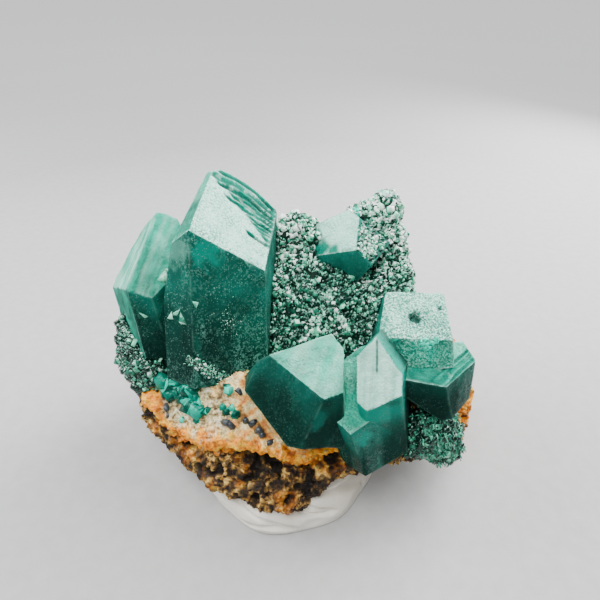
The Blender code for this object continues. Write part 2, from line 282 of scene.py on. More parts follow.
# %% [markdown]
# ## The finishes
# A clear crystal face is a plain see-through shader: transmission, an index of refraction of about 1.65, and a
# volume that takes red out of the light, so that a thick crystal goes deep green. Its mirror shine is kept low,
# because a pale floor would turn every steep face grey. A frosted end face is the same stone seen through a rough
# skin, so it is paler, scatters more and lets less through. The tiny crystals of the crust each have their own
# tone, from almost black to white, painted on each face as it would catch the light or not: painted highlights and
# painted shade.
# A finish is built up as a painter would: a first colour, and then coats laid over it in turn, each where its mask
# says. The masks are the groups above, or numbers that the piece carries at each point: frost (dust on a clear
# face, whose pale specks are partly painted glints), pitted, a dark mark (dark streaks and patches, and painted
# shade in grooves, pits and spots), glow (painted light from within), edge (worn, with a pale rim that is partly a
# painted highlight), and haze, which is milky on a clear face and bare green on a frosted one.

# %% Helpers for finishes
STONE_IOR = 1.65


def new_material(name, constants=None):
    """A material with a Principled shader, whose constant inputs are set by name; also its tree and shader."""
    made = bpy.data.materials.new(name)
    made.use_nodes = True
    shader = made.node_tree.nodes["Principled BSDF"]
    for key, value in (constants or {}).items():
        put(made.node_tree, shader.inputs[key], value)
    return made, made.node_tree, shader


def use(tree, group, **values):
    """A group placed in a material with its own values."""
    node = tree.nodes.new("ShaderNodeGroup")
    node.node_tree = group
    for key, value in values.items():
        node.inputs[key].default_value = value
    return node.outputs


def mark(tree, name):
    """The number that a piece carries at each point or face under this name."""
    return add(tree, "ShaderNodeAttribute", attribute_name=name).outputs["Fac"]


def coats(tree, colour, *layers):
    """A colour with coats laid over it in turn. A coat is (mask, colour), or (mask, colour, share) to cover only by
    mask x share. A mask given as a word is the piece's own number of that name."""
    for mask, paint, *share in layers:
        mask = mark(tree, mask) if isinstance(mask, str) else mask
        colour = blend(tree, times(tree, mask, share[0]) if share else mask, colour, paint)
    return colour


def finish(tree, shader, colour, rough, normal):
    """Links what varies over the surface into the shader."""
    for key, value in (("Base Color", colour), ("Roughness", rough), ("Normal", normal)):
        put(tree, shader.inputs[key], value)


def green_depth(tree, density):
    """Absorption inside a crystal: it takes red first, then blue, and leaves green."""
    inside = add(tree, "ShaderNodeVolumeAbsorption", {"Color": (0.03, 0.86, 0.76), "Density": density})
    tree.links.new(inside.outputs[0], tree.nodes["Material Output"].inputs["Volume"])


print("index of refraction:", STONE_IOR)

# %% Clear dioptase
clear_face, tree, shader = new_material("clear dioptase", {
    "Transmission Weight": 0.5, "IOR": STONE_IOR, "Specular IOR Level": 0.005, "Specular Tint": (0.20, 0.80, 0.65),
})
clouds = use(tree, cloud_group, Scale=330.0, Stretch=0.30, Low=0.45, High=0.72)
patches = use(tree, cloud_group, Scale=1100.0, Stretch=0.35, Low=0.48, High=0.68)
etched = use(tree, pit_group, Scale=5200.0, Low=0.50, High=0.62)
fine_dust = use(tree, speck_group, Scale=7000.0, Size=0.30, Share=0.35)
dust = use(tree, speck_group, Scale=3000.0, Size=0.15, Share=0.30)
grain = use(tree, grain_group, Scale=1700.0, Bump=0.25, Height=0.00006)
# Pale specks on a clear face are dust and partly painted glints, and the pale rim along its edges is wear and partly a
# painted highlight: both go into the pale coat.
dust_and_glints = arithmetic(tree, "MAXIMUM", times(tree, fine_dust["Mask"], 0.75), dust["Mask"])
light = arithmetic(tree, "MAXIMUM", times(tree, dust_and_glints, mark(tree, "frost")), times(tree, mark(tree, "edge"), 0.22))
# The dark coat holds dark streaks and patches and painted shade, and the glow coat painted light from within.
body = coats(
    tree, blend(tree, clouds["Mask"], (0.001, 0.018, 0.012), (0.002, 0.072, 0.050)),
    (patches["Mask"], (0.006, 0.190, 0.130), 0.55),
    (times(tree, etched["Mask"], times(tree, mark(tree, "frost"), 0.85)), (0.170, 0.460, 0.360)),
    ("dark_marks_and_shade", (0.000, 0.010, 0.006)), ("glow", (0.001, 0.420, 0.310)), ("haze", (0.130, 0.480, 0.360)),
    (light, (0.26, 0.66, 0.52)),
)
rough = coats(tree, ramp(tree, grain["Value"], [(0.3, 0.22), (0.75, 0.50)]),
              ("haze", (0.7, 0.7, 0.7)), ("dark_marks_and_shade", (0.88, 0.88, 0.88)))
finish(tree, shader, body, rough, grain["Normal"])
green_depth(tree, 800.0)
print("made", clear_face.name)

# %% Frosted dioptase
frosted_face, tree, shader = new_material("frosted dioptase", {
    "Transmission Weight": 0.15, "IOR": STONE_IOR, "Specular IOR Level": 0.22, "Specular Tint": (0.35, 0.95, 0.75),
})
grain = use(tree, grain_group, Scale=6500.0, Bump=0.75, Height=0.00011)
broad = use(tree, cloud_group, Scale=420.0, Stretch=1.0, Low=0.35, High=0.7)
etched = use(tree, pit_group, Scale=7800.0, Low=0.50, High=0.57)
coarse = times(tree, mark(tree, "pitted"), 1.5)
mint = coats(tree, blend(tree, broad["Mask"], (0.003, 0.340, 0.210), (0.020, 0.640, 0.430)),
             (times(tree, ramp(tree, grain["Value"], [(0.40, 1.0), (0.60, 0.0)]), coarse), (0.004, 0.150, 0.100)))
white = ramp(tree, grain["Value"], [(0.36, (0.14, 0.58, 0.42)), (0.50, (0.42, 0.92, 0.72)), (0.64, (0.86, 1.0, 0.95))])
white = coats(tree, white,
              (times(tree, ramp(tree, grain["Value"], [(0.38, 1.0), (0.54, 0.0)]), coarse), (0.02, 0.22, 0.15)))
white = blend(tree, times(tree, mark(tree, "pitted"), 1.8), (0.52, 0.93, 0.78), white)
deep = ramp(tree, broad["Mask"], [(0.0, (0.001, 0.090, 0.060)), (1.0, (0.003, 0.300, 0.200))])
# The dark coat here holds dark streaks and painted shade, and the pale edge coat wear and partly a painted highlight.
skin = coats(
    tree, mint, ("frost", white),
    (times(tree, etched["Mask"], mark(tree, "pitted")), (0.002, 0.060, 0.042)),
    ("haze", deep), ("edge", (0.50, 0.84, 0.72), 0.6), ("dark_marks_and_shade", (0.001, 0.045, 0.032)),
)
rough = coats(tree, ramp(tree, grain["Value"], [(0.3, 0.26), (0.7, 0.55)]), ("haze", (0.95, 0.95, 0.95)))
finish(tree, shader, skin, rough, grain["Normal"])
green_depth(tree, 900.0)
print("made", frosted_face.name)

# %% The sparkling crust and its dark bed
tiny_green, tree, shader = new_material("tiny dioptase", {"IOR": STONE_IOR, "Specular Tint": (0.55, 0.95, 0.80)})
# The tone of each face carries painted light and shade: the darkest tones stand for faces in shade, the palest for
# painted glints.
tone_and_shading = ramp(tree, mark(tree, "tone_and_shading"), [
    (0.00, (0.001, 0.008, 0.005)), (0.36, (0.002, 0.026, 0.016)), (0.48, (0.012, 0.130, 0.080)),
    (0.62, (0.050, 0.400, 0.240)), (0.76, (0.240, 0.760, 0.500)), (0.85, (0.50, 0.94, 0.72)),
    (0.93, (0.88, 0.99, 0.92)),
])
grain = use(tree, grain_group, Scale=6000.0, Bump=0.25, Height=0.00004)
tone_and_shading = coats(tree, tone_and_shading, (ramp(tree, grain["Value"], [(0.35, 0.35), (0.60, 0.0)]), (0.001, 0.02, 0.013)))
finish(tree, shader, tone_and_shading, ramp(tree, grain["Value"], [(0.35, 0.08), (0.7, 0.26)]), grain["Normal"])

crust_bed, tree, shader = new_material("dark crust bed", {"IOR": 1.6, "Specular IOR Level": 0.1})
cells = use(tree, speck_group, Scale=3200.0, Size=0.42, Share=0.5)
grain = use(tree, grain_group, Scale=3000.0, Bump=0.8, Height=0.0002)
bed = coats(tree, blend(tree, cells["Mask"], (0.001, 0.012, 0.007), (0.006, 0.060, 0.038)),
            (grain["Value"], (0.002, 0.020, 0.013)))
finish(tree, shader, bed, ramp(tree, grain["Value"], [(0.3, 0.6), (0.7, 0.9)]), grain["Normal"])
print("made", tiny_green.name, "and", crust_bed.name)

# %% The bright teal and the dark small crystals
teal_stone, tree, shader = new_material("bright teal dioptase", {
    "Transmission Weight": 0.15, "IOR": STONE_IOR, "Specular IOR Level": 0.2, "Specular Tint": (0.30, 0.90, 0.75),
})
# As on the crust, the tone of each face carries painted light and shade, and the brightest tones are painted glints.
tone_and_shading = ramp(tree, mark(tree, "tone_and_shading"), [(0.10, (0.000, 0.060, 0.038)), (0.5, (0.000, 0.190, 0.125)),
                                      (0.85, (0.002, 0.480, 0.330)), (1.0, (0.020, 0.850, 0.600))])
grain = use(tree, grain_group, Scale=3500.0, Bump=0.2, Height=0.00005)
finish(tree, shader, tone_and_shading, ramp(tree, grain["Value"], [(0.3, 0.12), (0.7, 0.35)]), grain["Normal"])
green_depth(tree, 120.0)

dark_stone, tree, shader = new_material("dark small crystal")
grain = use(tree, grain_group, Scale=3500.0, Bump=0.4, Height=0.00008)
finish(tree, shader, ramp(tree, grain["Value"], [(0.3, (0.012, 0.018, 0.022)), (0.7, (0.060, 0.075, 0.085))]),
       ramp(tree, grain["Value"], [(0.3, 0.2), (0.7, 0.5)]), grain["Normal"])
print("finishes so far:", len(bpy.data.materials))

# %% [markdown]
# ## Large crystals
# A crystal is what is left of space when each of its faces cuts away all that lies outside it. Modelling it by
# hand would mean guessing corners, and a Boolean for each face gives a mesh with no room for detail. Here the
# corners are worked out where three faces meet, and every face then gets its own fine grid, laid out like a
# spider's web: round the outline one way and from the middle to the edge the other way. The web's outer ring is
# the same on both sides of an edge, so the faces join with no gap, and the grid has room for growth steps, ridges,
# pits and chipped edges.

# %% Corners and faces of a crystal
IDEAL = {f"p{i}": (30 + 60 * i, 0) for i in range(6)}  # the six prism faces: azimuth and rise in degrees
IDEAL.update(a=(0, 39), b=(120, 39), c=(240, 39), root=(0, -90))  # three end faces and the broken root


def unit(azimuth, rise):
    """Direction at an azimuth round Z and a rise above the XY plane: (cos r cos a, cos r sin a, sin r)."""
    azimuth, rise = np.radians(azimuth), np.radians(rise)
    return np.array([np.cos(rise) * np.cos(azimuth), np.cos(rise) * np.sin(azimuth), np.sin(rise)])


def turning(lean, toward, turn):
    """The crystal's axes as columns: turned about Z, leaned over, and turned again towards an azimuth."""
    def about_z(angle):
        c, s = np.cos(np.radians(angle)), np.sin(np.radians(angle))
        return np.array([[c, -s, 0], [s, c, 0], [0, 0, 1]])
    c, s = np.cos(np.radians(lean)), np.sin(np.radians(lean))
    return about_z(toward) @ np.array([[c, 0, s], [0, 1, 0], [-s, 0, c]]) @ about_z(turn)


def planes(spec):
    """Face names, their outward directions and their distances from the crystal's place."""
    turned = turning(spec["lean"], spec["toward"], spec["turn"])
    faces = {**IDEAL, **spec["skew"]}
    normals = np.array([turned @ unit(*faces[name]) for name in spec["reach"]])
    return list(spec["reach"]), normals, np.array(list(spec["reach"].values()))


def direction_of(spec, face):
    """One face's outward direction."""
    names, normals, _ = planes(spec)
    return normals[names.index(face)]


def above(points, spec, face):
    """How far points stand out of one face, in mm: n.(x - place) - d."""
    return (points - np.array(spec["place"])) @ direction_of(spec, face) - spec["reach"][face]


def corners_of(normals, reaches):
    """Where three planes n.x = d meet, keeping the meeting points that no other plane cuts away."""
    trios = np.array(list(itertools.combinations(range(len(normals)), 3)))
    trios = trios[abs(np.linalg.det(normals[trios])) > 1e-3]
    points = np.linalg.solve(normals[trios], reaches[trios][..., None])[..., 0]
    points = points[(points @ normals.T <= reaches + 1e-6).all(1)]
    return np.unique(np.round(points, 6), axis=0)


def outline_of(corners, normal, reach):
    """The corners of one face, in order round its outward direction, or None where the face is cut away."""
    on = corners[abs(corners @ normal - reach) < 1e-4]
    if len(on) < 3:
        return None
    side = np.cross(normal, [0.3, 0.5, 0.8])
    side /= np.linalg.norm(side)
    away = on - on.mean(0)
    return on[np.argsort(np.arctan2(away @ np.cross(normal, side), away @ side))]


cube = np.concatenate([np.eye(3), -np.eye(3)])
print("corners found on a cube:", len(corners_of(cube, np.ones(6))))

# %% The web of one face


def web(outline, step, coarse):
    """Points P(t, s) = middle + s (B(t) - middle): B(t) runs round the outline in steps of about step mm, and s
    goes from 0 at the middle to 1 at the edge, in steps as many times longer as coarse says. Returns points,
    quads and the middle's fan of triangles."""
    ahead = np.roll(outline, -1, axis=0)
    counts = np.maximum(1, np.ceil(np.linalg.norm(ahead - outline, axis=1) / step)).astype(int)
    border = np.concatenate([
        a + (b - a) * (np.arange(n) / n)[:, None] for a, b, n in zip(outline, ahead, counts)
    ])
    middle = outline.mean(0)
    rings = max(4, int(np.linalg.norm(border - middle, axis=1).mean() / (step * coarse)))
    share = np.arange(1, rings + 1) / rings
    points = np.concatenate([middle[None], (middle + share[:, None, None] * (border - middle)).reshape(-1, 3)])
    around = np.arange(len(border))
    nxt = np.roll(around, -1)
    start = 1 + np.arange(rings - 1)[:, None] * len(border)
    quads = np.stack([start + around, start + len(border) + around, start + len(border) + nxt, start + nxt], -1)
    fan = np.stack([np.zeros_like(around), 1 + around, 1 + nxt], -1)
    return points, quads.reshape(-1, 4), fan


def edge_distance(points, outline):
    """Distance of each point of a face from the nearest of the face's edges."""
    along = np.roll(outline, -1, axis=0) - outline
    along /= np.linalg.norm(along, axis=1)[:, None]
    offset = points[:, None] - outline
    offset -= (offset * along).sum(-1)[..., None] * along
    return np.linalg.norm(offset, axis=-1).min(1)


def beside(points, start, end):
    """Distance of each point from the line between two ends, and the share of the way along it, from 0 to 1."""
    start, run = np.array(start), np.array(end) - np.array(start)
    share = np.clip((points - start) @ run / (run @ run), 0, 1)
    return np.linalg.norm(points - start - share[:, None] * run, axis=1), share


square = np.array([(0, 0, 0), (1, 0, 0), (1, 1, 0), (0, 1, 0)], float)
print("points in the web of a square of 1 mm:", len(web(square, 0.1, 1.0)[0]))

# %% [markdown]
# ## What grows and wears on a face
# End faces carry low growth steps like contour lines and a frost of tiny etch marks. Prism faces are smoother, with
# waves that run along the crystal, a little dust whose pale specks are partly painted glints, and broad darker
# patches and bands that are seen through them.
# Two end faces are ribbed: long ridges, steep on one side. Painting all this by hand would need every face
# unwrapped. Here height and marks are functions of the place in space, so nothing has to be. Single marks are
# added where a face has them: a pit, a crack, or a spot, which is a soft round patch of one of the marks.

# %% Ridges
BEND = 0.22  # how far the lines of the ridges wander, mm
FADE = 0.12  # over how many mm they end
print("ridges wander by", BEND, "mm")


def ridges(points, spec):
    """Ridges that run along one direction: the distance across them, bent by noise, goes up slowly and drops
    fast (a saw tooth), and they fade out beyond a width from where they start. Returns height, how dark the grooves
    between the ridges are, which is painted shade, and how green the stone is beside the bright crests."""
    start, along, across, pitch, depth, width, spread = (np.array(value, float) for value in spec["ridges"])
    away, far = (points - start) @ across, (points - start) @ along
    zero = 0 * away
    bent = away + BEND * cloudy(np.stack([far * 0.35, away * 0.8, zero], -1), 3, 41)
    line = np.floor(bent / pitch)
    tooth = bent / pitch - line
    uneven = 0.55 + 0.45 * cloudy(np.stack([far * 0.5, line * 3.7, zero], -1), 2, 43)
    flecks = cloudy(np.stack([far * 1.6, bent * 4.5, zero], -1), 3, 47)
    steps = 0.35 * np.floor(cloudy(np.stack([zero, line * 5.1, zero], -1), 1, 45) * 3)
    inside = 1 - ease(-FADE, FADE, away - (width + spread * far) - steps)
    gap = ease(0.30, 0.45, tooth) * (1 - ease(0.88, 1.0, tooth))
    crest = ease(0.02, 0.08, tooth) * (1 - ease(0.12, 0.21, tooth)) * (uneven + 0.3)
    crest = np.clip(crest + 0.8 * ease(0.28, 0.5, flecks), 0, 1)
    return -depth * uneven * inside * gap, inside * np.clip(gap * (0.1 + 1.1 * uneven), 0, 1), inside * (1 - crest)


# %% Relief of an end face and of a prism face
GRAIN_WAY = (0.3, 1.0, 0.2)  # streaks lie side by side along the direction square to this one and to the axis
STEP_HEIGHT, SWELL_HEIGHT = 0.035, 0.045  # growth steps and slow swells on an end face, mm
WAVE_HEIGHT, RIPPLE_HEIGHT = 0.05, 0.02  # long waves and ripples on a prism face, mm


def end_face(face, points, down, axis, spec):
    """Height, frost, dark streaks and pitted on a frosted face. Steps: a level L of slow noise becomes floor(L) with a
    short slope up to the next. Streaks: noise drawn out nine times along the crystal."""
    seed, streaks = spec["seed"], spec["streaks"]
    level = 4 * cloudy(points * 0.5, 2, seed)
    height = STEP_HEIGHT * (np.floor(level) + ease(0.7, 1.0, level - np.floor(level)))
    height += SWELL_HEIGHT * cloudy(points * 1.7, 3, seed + 5)
    drawn = np.stack([down * 2.2, points @ axis * 0.25, 0 * down], -1)
    frost = spec["frost"] * spec["dim"].get(face, 1.0) + 0.25 * cloudy(points * 1.1, 3, seed + 9)
    frost += streaks * cloudy(drawn, 3, seed + 13)
    dark_marks_and_shade = 0.5 * streaks * ease(0.35, 0.6, cloudy(drawn * 1.9, 2, seed + 15))
    return height, frost, dark_marks_and_shade, spec["pitted"] * (0.8 + 0.5 * cloudy(points * 0.7, 2, seed + 7))


def prism_face(points, down, axis, spec):
    """Height, frost (dust, whose pale specks are partly painted glints), darkness and pitted on a clear face: waves
    drawn out five times along the crystal, soft dark patches, and narrow dark bands that run down it."""
    seed = spec["seed"]
    drawn = points - 0.8 * (points @ axis)[:, None] * axis
    height = WAVE_HEIGHT * cloudy(drawn * 1.1, 3, seed + 3) + RIPPLE_HEIGHT * cloudy(points * 3.0, 2, seed + 4)
    frost = np.clip(spec["dust"] * (0.75 + cloudy(points * 0.6, 3, seed + 51)), 0, 1)
    bands = np.stack([down * 1.3, points @ axis * 0.06, 0 * down], -1)
    dark_marks_and_shade = np.maximum(0.8 * ease(-0.1, 0.45, cloudy(drawn * 0.45, 3, seed + 53)),
                        0.7 * ease(0.12, 0.40, cloudy(bands, 3, seed + 57)))
    return height, frost, dark_marks_and_shade, np.full(len(points), spec["pitted"])


print("growth steps, mm:", STEP_HEIGHT, "and waves, mm:", WAVE_HEIGHT)

# %% All relief and marks of one face
CALM = 0.4  # relief fades out over this last stretch before an edge, mm, so that neighbouring faces meet


def face_relief(face, points, edge, spec, axis):
    """Height out of a face in mm, and at each point how frosted, pitted and hazy it is, how dark (streaks, and
    painted shade in ridge grooves, pits and dark spots), and how lit from within, which is painted light. Light comes
    in through the end faces: glow = exp(-(depth below the nearest end / reach)²)."""
    seed = spec["seed"]
    down = points @ np.cross(axis, GRAIN_WAY)
    names, normals, reaches = planes(spec)
    ends = [names.index(end) for end in spec["frosted"] if end in ("a", "b", "c")]
    below = (reaches[ends] - (points - np.array(spec["place"])) @ normals[ends].T).min(1)
    glow = spec["glow"] * np.exp(-((below / spec["glow_depth"]) ** 2))
    glow = np.clip(glow * (1 + 0.9 * cloudy(points * 0.7, 3, seed + 33)), 0, 1)
    haze = np.zeros(len(points))
    if face in spec["frosted"]:
        height, frost, dark_marks_and_shade, pitted = end_face(face, points, down, axis, spec)
    else:
        height, frost, dark_marks_and_shade, pitted = prism_face(points, down, axis, spec)
    if face == spec["ridged"]:
        lower, gap_shade, haze = ridges(points, spec)
        height += lower
        # painted shade in the grooves between the ridges
        dark_marks_and_shade = np.maximum(dark_marks_and_shade, 0.85 * gap_shade)
    for cracked, start, end in spec["cracks"]:
        if face == cracked:
            away = beside(points, start, end)[0] + 0.05 * cloudy(points * 3, 2, 87)
            dark_marks_and_shade = np.maximum(dark_marks_and_shade, 0.85 * (1 - ease(0.03, 0.11, away)))
    for *centre, radius, depth in spec["pits"]:
        away = np.linalg.norm(points - centre, axis=1) / (radius * (1 + 0.3 * cloudy(points * 2.5, 2, 77)))
        height -= depth * (1 - ease(0.5, 1.0, away))
        # painted shade inside the pit
        dark_marks_and_shade = np.maximum(dark_marks_and_shade, 0.9 * (1 - ease(0.6, 1.05, away)))
    shown = {"frost": frost, "dark_marks_and_shade": dark_marks_and_shade, "pitted": np.clip(pitted, 0, 1), "glow": glow, "haze": haze}
    # Spots of the dark mark are painted shade, and glow spots painted light.
    for kind, spotted, *centre, radius, strength in spec["spots"]:
        if face == spotted:
            away = np.linalg.norm(points - centre, axis=1) / radius + 0.35 * cloudy(points * 1.6, 3, seed + 35)
            shown[kind] = np.maximum(shown[kind], strength * (1 - ease(0.4, 1.0, away)))
    return height * ease(0.0, CALM, edge), shown


print("relief starts", CALM, "mm from the edges")

# %% The finished crystal
MARKS = ("edge", "frost", "dark_marks_and_shade", "pitted", "glow", "haze")
# The pale rim along an edge is partly wear and partly a painted highlight.
WORN_WIDTH, RIM_AND_HIGHLIGHT_WIDTH = 0.16, 0.08  # how far from an edge the wear and its pale rim reach, mm
HIDDEN_COARSE = 2.5  # a face that is hardly seen has its rings so many times further apart
SHARP = 32  # degrees above which an edge stays crisp


def swelling(points, start, end, direction, amount, width):
    """How far an edge bulges: amount, times sin(pi t) to the power 0.8 with t from 0 to 1 along the edge, times
    exp(-(distance from the edge / width)²)."""
    away, share = beside(points, start, end)
    return (amount * np.sin(np.pi * share) ** 0.8 * np.exp(-((away / width) ** 2)))[:, None] * np.array(direction)


def large_crystal(name, spec, node):
    """All faces of one crystal as webs, with relief along each face's direction and worn edges."""
    names, normals, reaches = planes(spec)
    place = np.array(spec["place"], float)
    axis = turning(spec["lean"], spec["toward"], spec["turn"])[:, 2]
    corners = corners_of(normals, reaches)
    parts = {key: [] for key in ("points", "quads", "fans", "quad_slots", "fan_slots") + MARKS}
    count = 0
    for face, normal, reach in zip(names, normals, reaches):
        outline = outline_of(corners, normal, reach)
        if outline is None:
            continue
        points, quads, fan = web(outline, spec["step"], 1.0 if face in spec["seen"] else HIDDEN_COARSE)
        edge = edge_distance(points, outline)
        points = points + place
        height, shown = face_relief(face, points, edge, spec, axis)
        chips = 0.25 + 2.2 * np.clip(cloudy(points * 0.9, 3, spec["seed"] + 21), 0, 1) ** 2
        inward = points - place
        inward /= np.linalg.norm(inward, axis=1)[:, None]
        worn = spec["worn"] * chips * np.exp(-((edge / WORN_WIDTH) ** 2))
        points = points + normal * height[:, None] - inward * worn[:, None]
        if spec["swell"]:
            points = points + swelling(points, *spec["swell"])
        # The pale rim along each edge: wear, and partly a painted highlight.
        rim = np.clip(0.30 + 1.3 * cloudy(points * 1.3, 3, spec["seed"] + 25), 0, 1)
        shown["edge"] = rim * np.exp(-((edge / RIM_AND_HIGHLIGHT_WIDTH) ** 2))
        kind = 1 if face in spec["frosted"] else 0
        shown.update(points=points, quads=quads + count, fans=fan + count,
                     quad_slots=np.full(len(quads), kind), fan_slots=np.full(len(fan), kind))
        for key, values in shown.items():
            parts[key].append(values)
        count += len(points)
    parts = {key: np.concatenate(values) for key, values in parts.items()}
    piece = make_piece(name, parts["points"], parts["quads"], parts["fans"], [clear_face, frosted_face],
                       {key: parts[key] for key in MARKS},
                       np.concatenate([parts["quad_slots"], parts["fan_slots"]]), sharp=SHARP)
    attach(piece, "root")
    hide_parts(node)


def crystal(**own):
    """A crystal's numbers, with the usual ones where it has none of its own."""
    usual = dict(dust=0.5, glow=0.5, glow_depth=2.0, streaks=0.0, dim={}, spots=(), pits=(), cracks=(),
                 ridged=None, swell=None)
    return {**usual, **own}


print("marks at each point:", ", ".join(MARKS))

# %% [markdown]
# Now the crystals themselves. Each is a place in mm, a lean, and the distance of each face from the place (reach),
# as for the solids. Faces that grew off the ideal directions are in skew. The rest is what its surface shows:
# - frosted: the faces with frost, and dim, where one of them has less of it
# - seen: the faces that get a fine web, in steps of step mm
# - worn: how far its edges are rubbed down, in mm
# - frost, pitted, streaks, dust, glow: how strong each mark is, and glow_depth, how deep light comes in, in mm
# - spots: (mark, face, centre x, y, z, radius, strength); spots of the dark mark are painted shade and glow
#   spots painted light
# - pits: (centre x, y, z, radius, depth), each darkened inside with painted shade, and cracks: (face, start, end)
# - ridges: (start, along, across, pitch, depth, width, spread)
# - swell, an edge that bulges: (start, end, direction, amount, width)

# %% Tall crystal and its left neighbour
TALL = crystal(
    place=(-6.6, 7.1, 14.4), lean=22, toward=86, turn=-122,
    reach=dict(p0=5.3, p1=5.2, p2=5.2, p3=2.4, p4=5.0, p5=5.2, a=6.2, b=6.5, c=5.8, tip=9.6, shoulder=2.5, root=6.4),
    skew=dict(p0=(29, 2), p4=(270, -1), p5=(332, -1), b=(118, 37), tip=(0, 90), shoulder=(-148, 13)),
    frosted=("a", "b", "c", "tip"), seen=("a", "p4", "p3", "p5", "c", "shoulder"), step=0.15, worn=0.05, seed=3,
    frost=0.95, pitted=0.5, dim=dict(c=0.1, b=0.4), dust=1.15, glow=0.30, glow_depth=3.5, ridged="a",
    # The dark spot on p4 is painted shade, and the glow spots are painted light.
    spots=(
        ("haze", "p4", -8.3, 4.0, 20.4, 1.9, 0.70), ("haze", "c", -7.9, 5.6, 23.0, 3.5, 0.8),
        ("dark_marks_and_shade", "p4", -8.0, 1.6, 14.2, 5.0, 0.90), ("glow", "p5", -5.8, 3.6, 20.2, 1.6, 0.75),
        ("glow", "p5", -3.05, 2.45, 16.2, 0.5, 1.0),
    ),
    swell=((-6.3, 11.3, 23.8), (-0.7, 11.9, 19.0), (0.55, 0.50, 0.66), 0.55, 1.1),
)
# The ridges start from the swollen edge, run along it, and lie side by side down the face from there.
rim_start, rim_end, low_corner = np.array([(-5.9, 11.3, 23.4), (-1.0, 11.9, 19.2), (-6.7, 3.6, 22.0)])
rim = (rim_end - rim_start) / np.linalg.norm(rim_end - rim_start)
across = np.cross(direction_of(TALL, "a"), rim)
across *= np.sign(across @ (low_corner - rim_start))
TALL["ridges"] = (rim_start, rim, across, 0.48, 0.20, 1.2, 0.62)

LEFT = crystal(
    place=(-11.5, 7.5, 13.6), lean=8, toward=141, turn=170,
    reach=dict(p0=4.0, p1=3.2, p2=3.2, p3=4.5, p4=2.7, p5=4.8, a=5.0, b=5.4, c=3.0, tip=7.0, root=6.6),
    skew=dict(p0=(13, 0), p3=(210, 1), p4=(261, 3), p5=(329, 0), a=(-1, 39), b=(126, 39), c=(242, 40), tip=(0, 90)),
    frosted=("a", "b", "c", "tip", "p4"), seen=("a", "c", "p0", "p4", "p5"), step=0.13, worn=0.10, seed=11,
    frost=0.10, pitted=0.08, streaks=0.6, dust=0.6, glow=0.35,
    # The dark spot on p5 is painted shade.
    spots=(
        ("haze", "p4", -14.0, 4.5, 12.0, 14.0, 0.95), ("haze", "a", -10.4, 5.3, 18.2, 2.4, 0.45),
        ("haze", "a", -11.5, 5.0, 17.5, 9.0, 0.18), ("dark_marks_and_shade", "p5", -11.2, 2.5, 12.5, 5.0, 0.8),
    ),
)
large_crystal("tall_crystal", TALL, "main_crystals")
large_crystal("left_crystal", LEFT, "main_crystals")

# %% Front crystals
FRONT_LEFT = crystal(
    place=(0.8, -1.2, 9.5), lean=35, toward=50, turn=-142,
    reach=dict(p0=3.9, p1=4.0, p2=4.0, p3=4.0, p4=4.4, p5=3.6, a=4.6, b=4.1, c=3.8, side=3.7, root=1.3, heel=2.0,
               toe=2.4),
    skew=dict(p0=(28, -2), p4=(270, 3), p5=(341, -1), a=(-4, 45), b=(121, 40), c=(239, 41), side=(79, 24),
              root=(200, -76), heel=(-81, -59), toe=(48, -73)),
    frosted=("a", "b", "c", "side"), seen=("a", "p4", "p5", "p0", "side"), step=0.12, worn=0.05, seed=23,
    frost=0.28, pitted=0.25, streaks=0.25, dust=0.15, glow=0.25, glow_depth=1.0,
    # The dark spot on p5 is painted shade, and the glow spot is painted light.
    spots=(
        ("dark_marks_and_shade", "p5", -0.6, -3.9, 11.2, 4.5, 0.7), ("glow", "p0", 2.2, -4.6, 11.6, 1.2, 0.30),
        ("haze", "a", 1.5, -1.5, 14.2, 9.0, 0.32), ("haze", "a", -1.0, -1.0, 15.0, 1.7, 0.60),
    ),
)
FRONT_STAND = dict(place=(7.0, -1.8, 10.4), lean=10, toward=-160, turn=55)
FRONT_RIGHT = crystal(
    **FRONT_STAND,
    reach=dict(p0=1.8, p1=1.9, p2=3.2, p3=3.2, p4=1.2, p5=2.3, a=3.0, b=3.3, c=3.7, root=5.2),
    skew=dict(p0=(23, -4), p1=(91, 1), p4=(272, -2), p5=(332, 1), a=(0, 42), b=(114, 30), c=(245, 33)),
    frosted=("a",), seen=("a", "b", "c", "p0", "p1", "p4", "p5"), step=0.10, worn=0.06, seed=31,
    frost=0.85, pitted=0.05, streaks=0.3, dust=0.25, glow=0.9,
    spots=(("glow", "p0", 6.96, -3.72, 11.2, 1.0, 1.0),), cracks=(("a", (6.33, -1.11, 16.08), (6.30, -2.48, 14.35)),),
)
FRONT_LOW = crystal(
    **FRONT_STAND,
    reach=dict(p0=1.5, p1=1.6, p2=2.8, p3=2.8, p4=4.0, p5=3.7, a=1.5, b=2.6, c=4.2, root=4.4),
    skew=dict(p0=(41, 9), p4=(316, -2), p5=(334, 0), a=(28, 58)),
    frosted=("a",), seen=("a", "p0", "p4", "p5"), step=0.10, worn=0.09, seed=37,
    frost=0.06, pitted=0.45, dust=0.4, glow_depth=1.8,
    spots=(("glow", "p0", 5.6, -4.2, 9.6, 1.2, 0.9), ("glow", "p0", 6.7, -3.9, 10.6, 0.8, 0.8)),
)
large_crystal("front_left_crystal", FRONT_LEFT, "front_crystals")
large_crystal("front_right_crystal", FRONT_RIGHT, "front_crystals")
large_crystal("front_low_crystal", FRONT_LOW, "front_crystals")

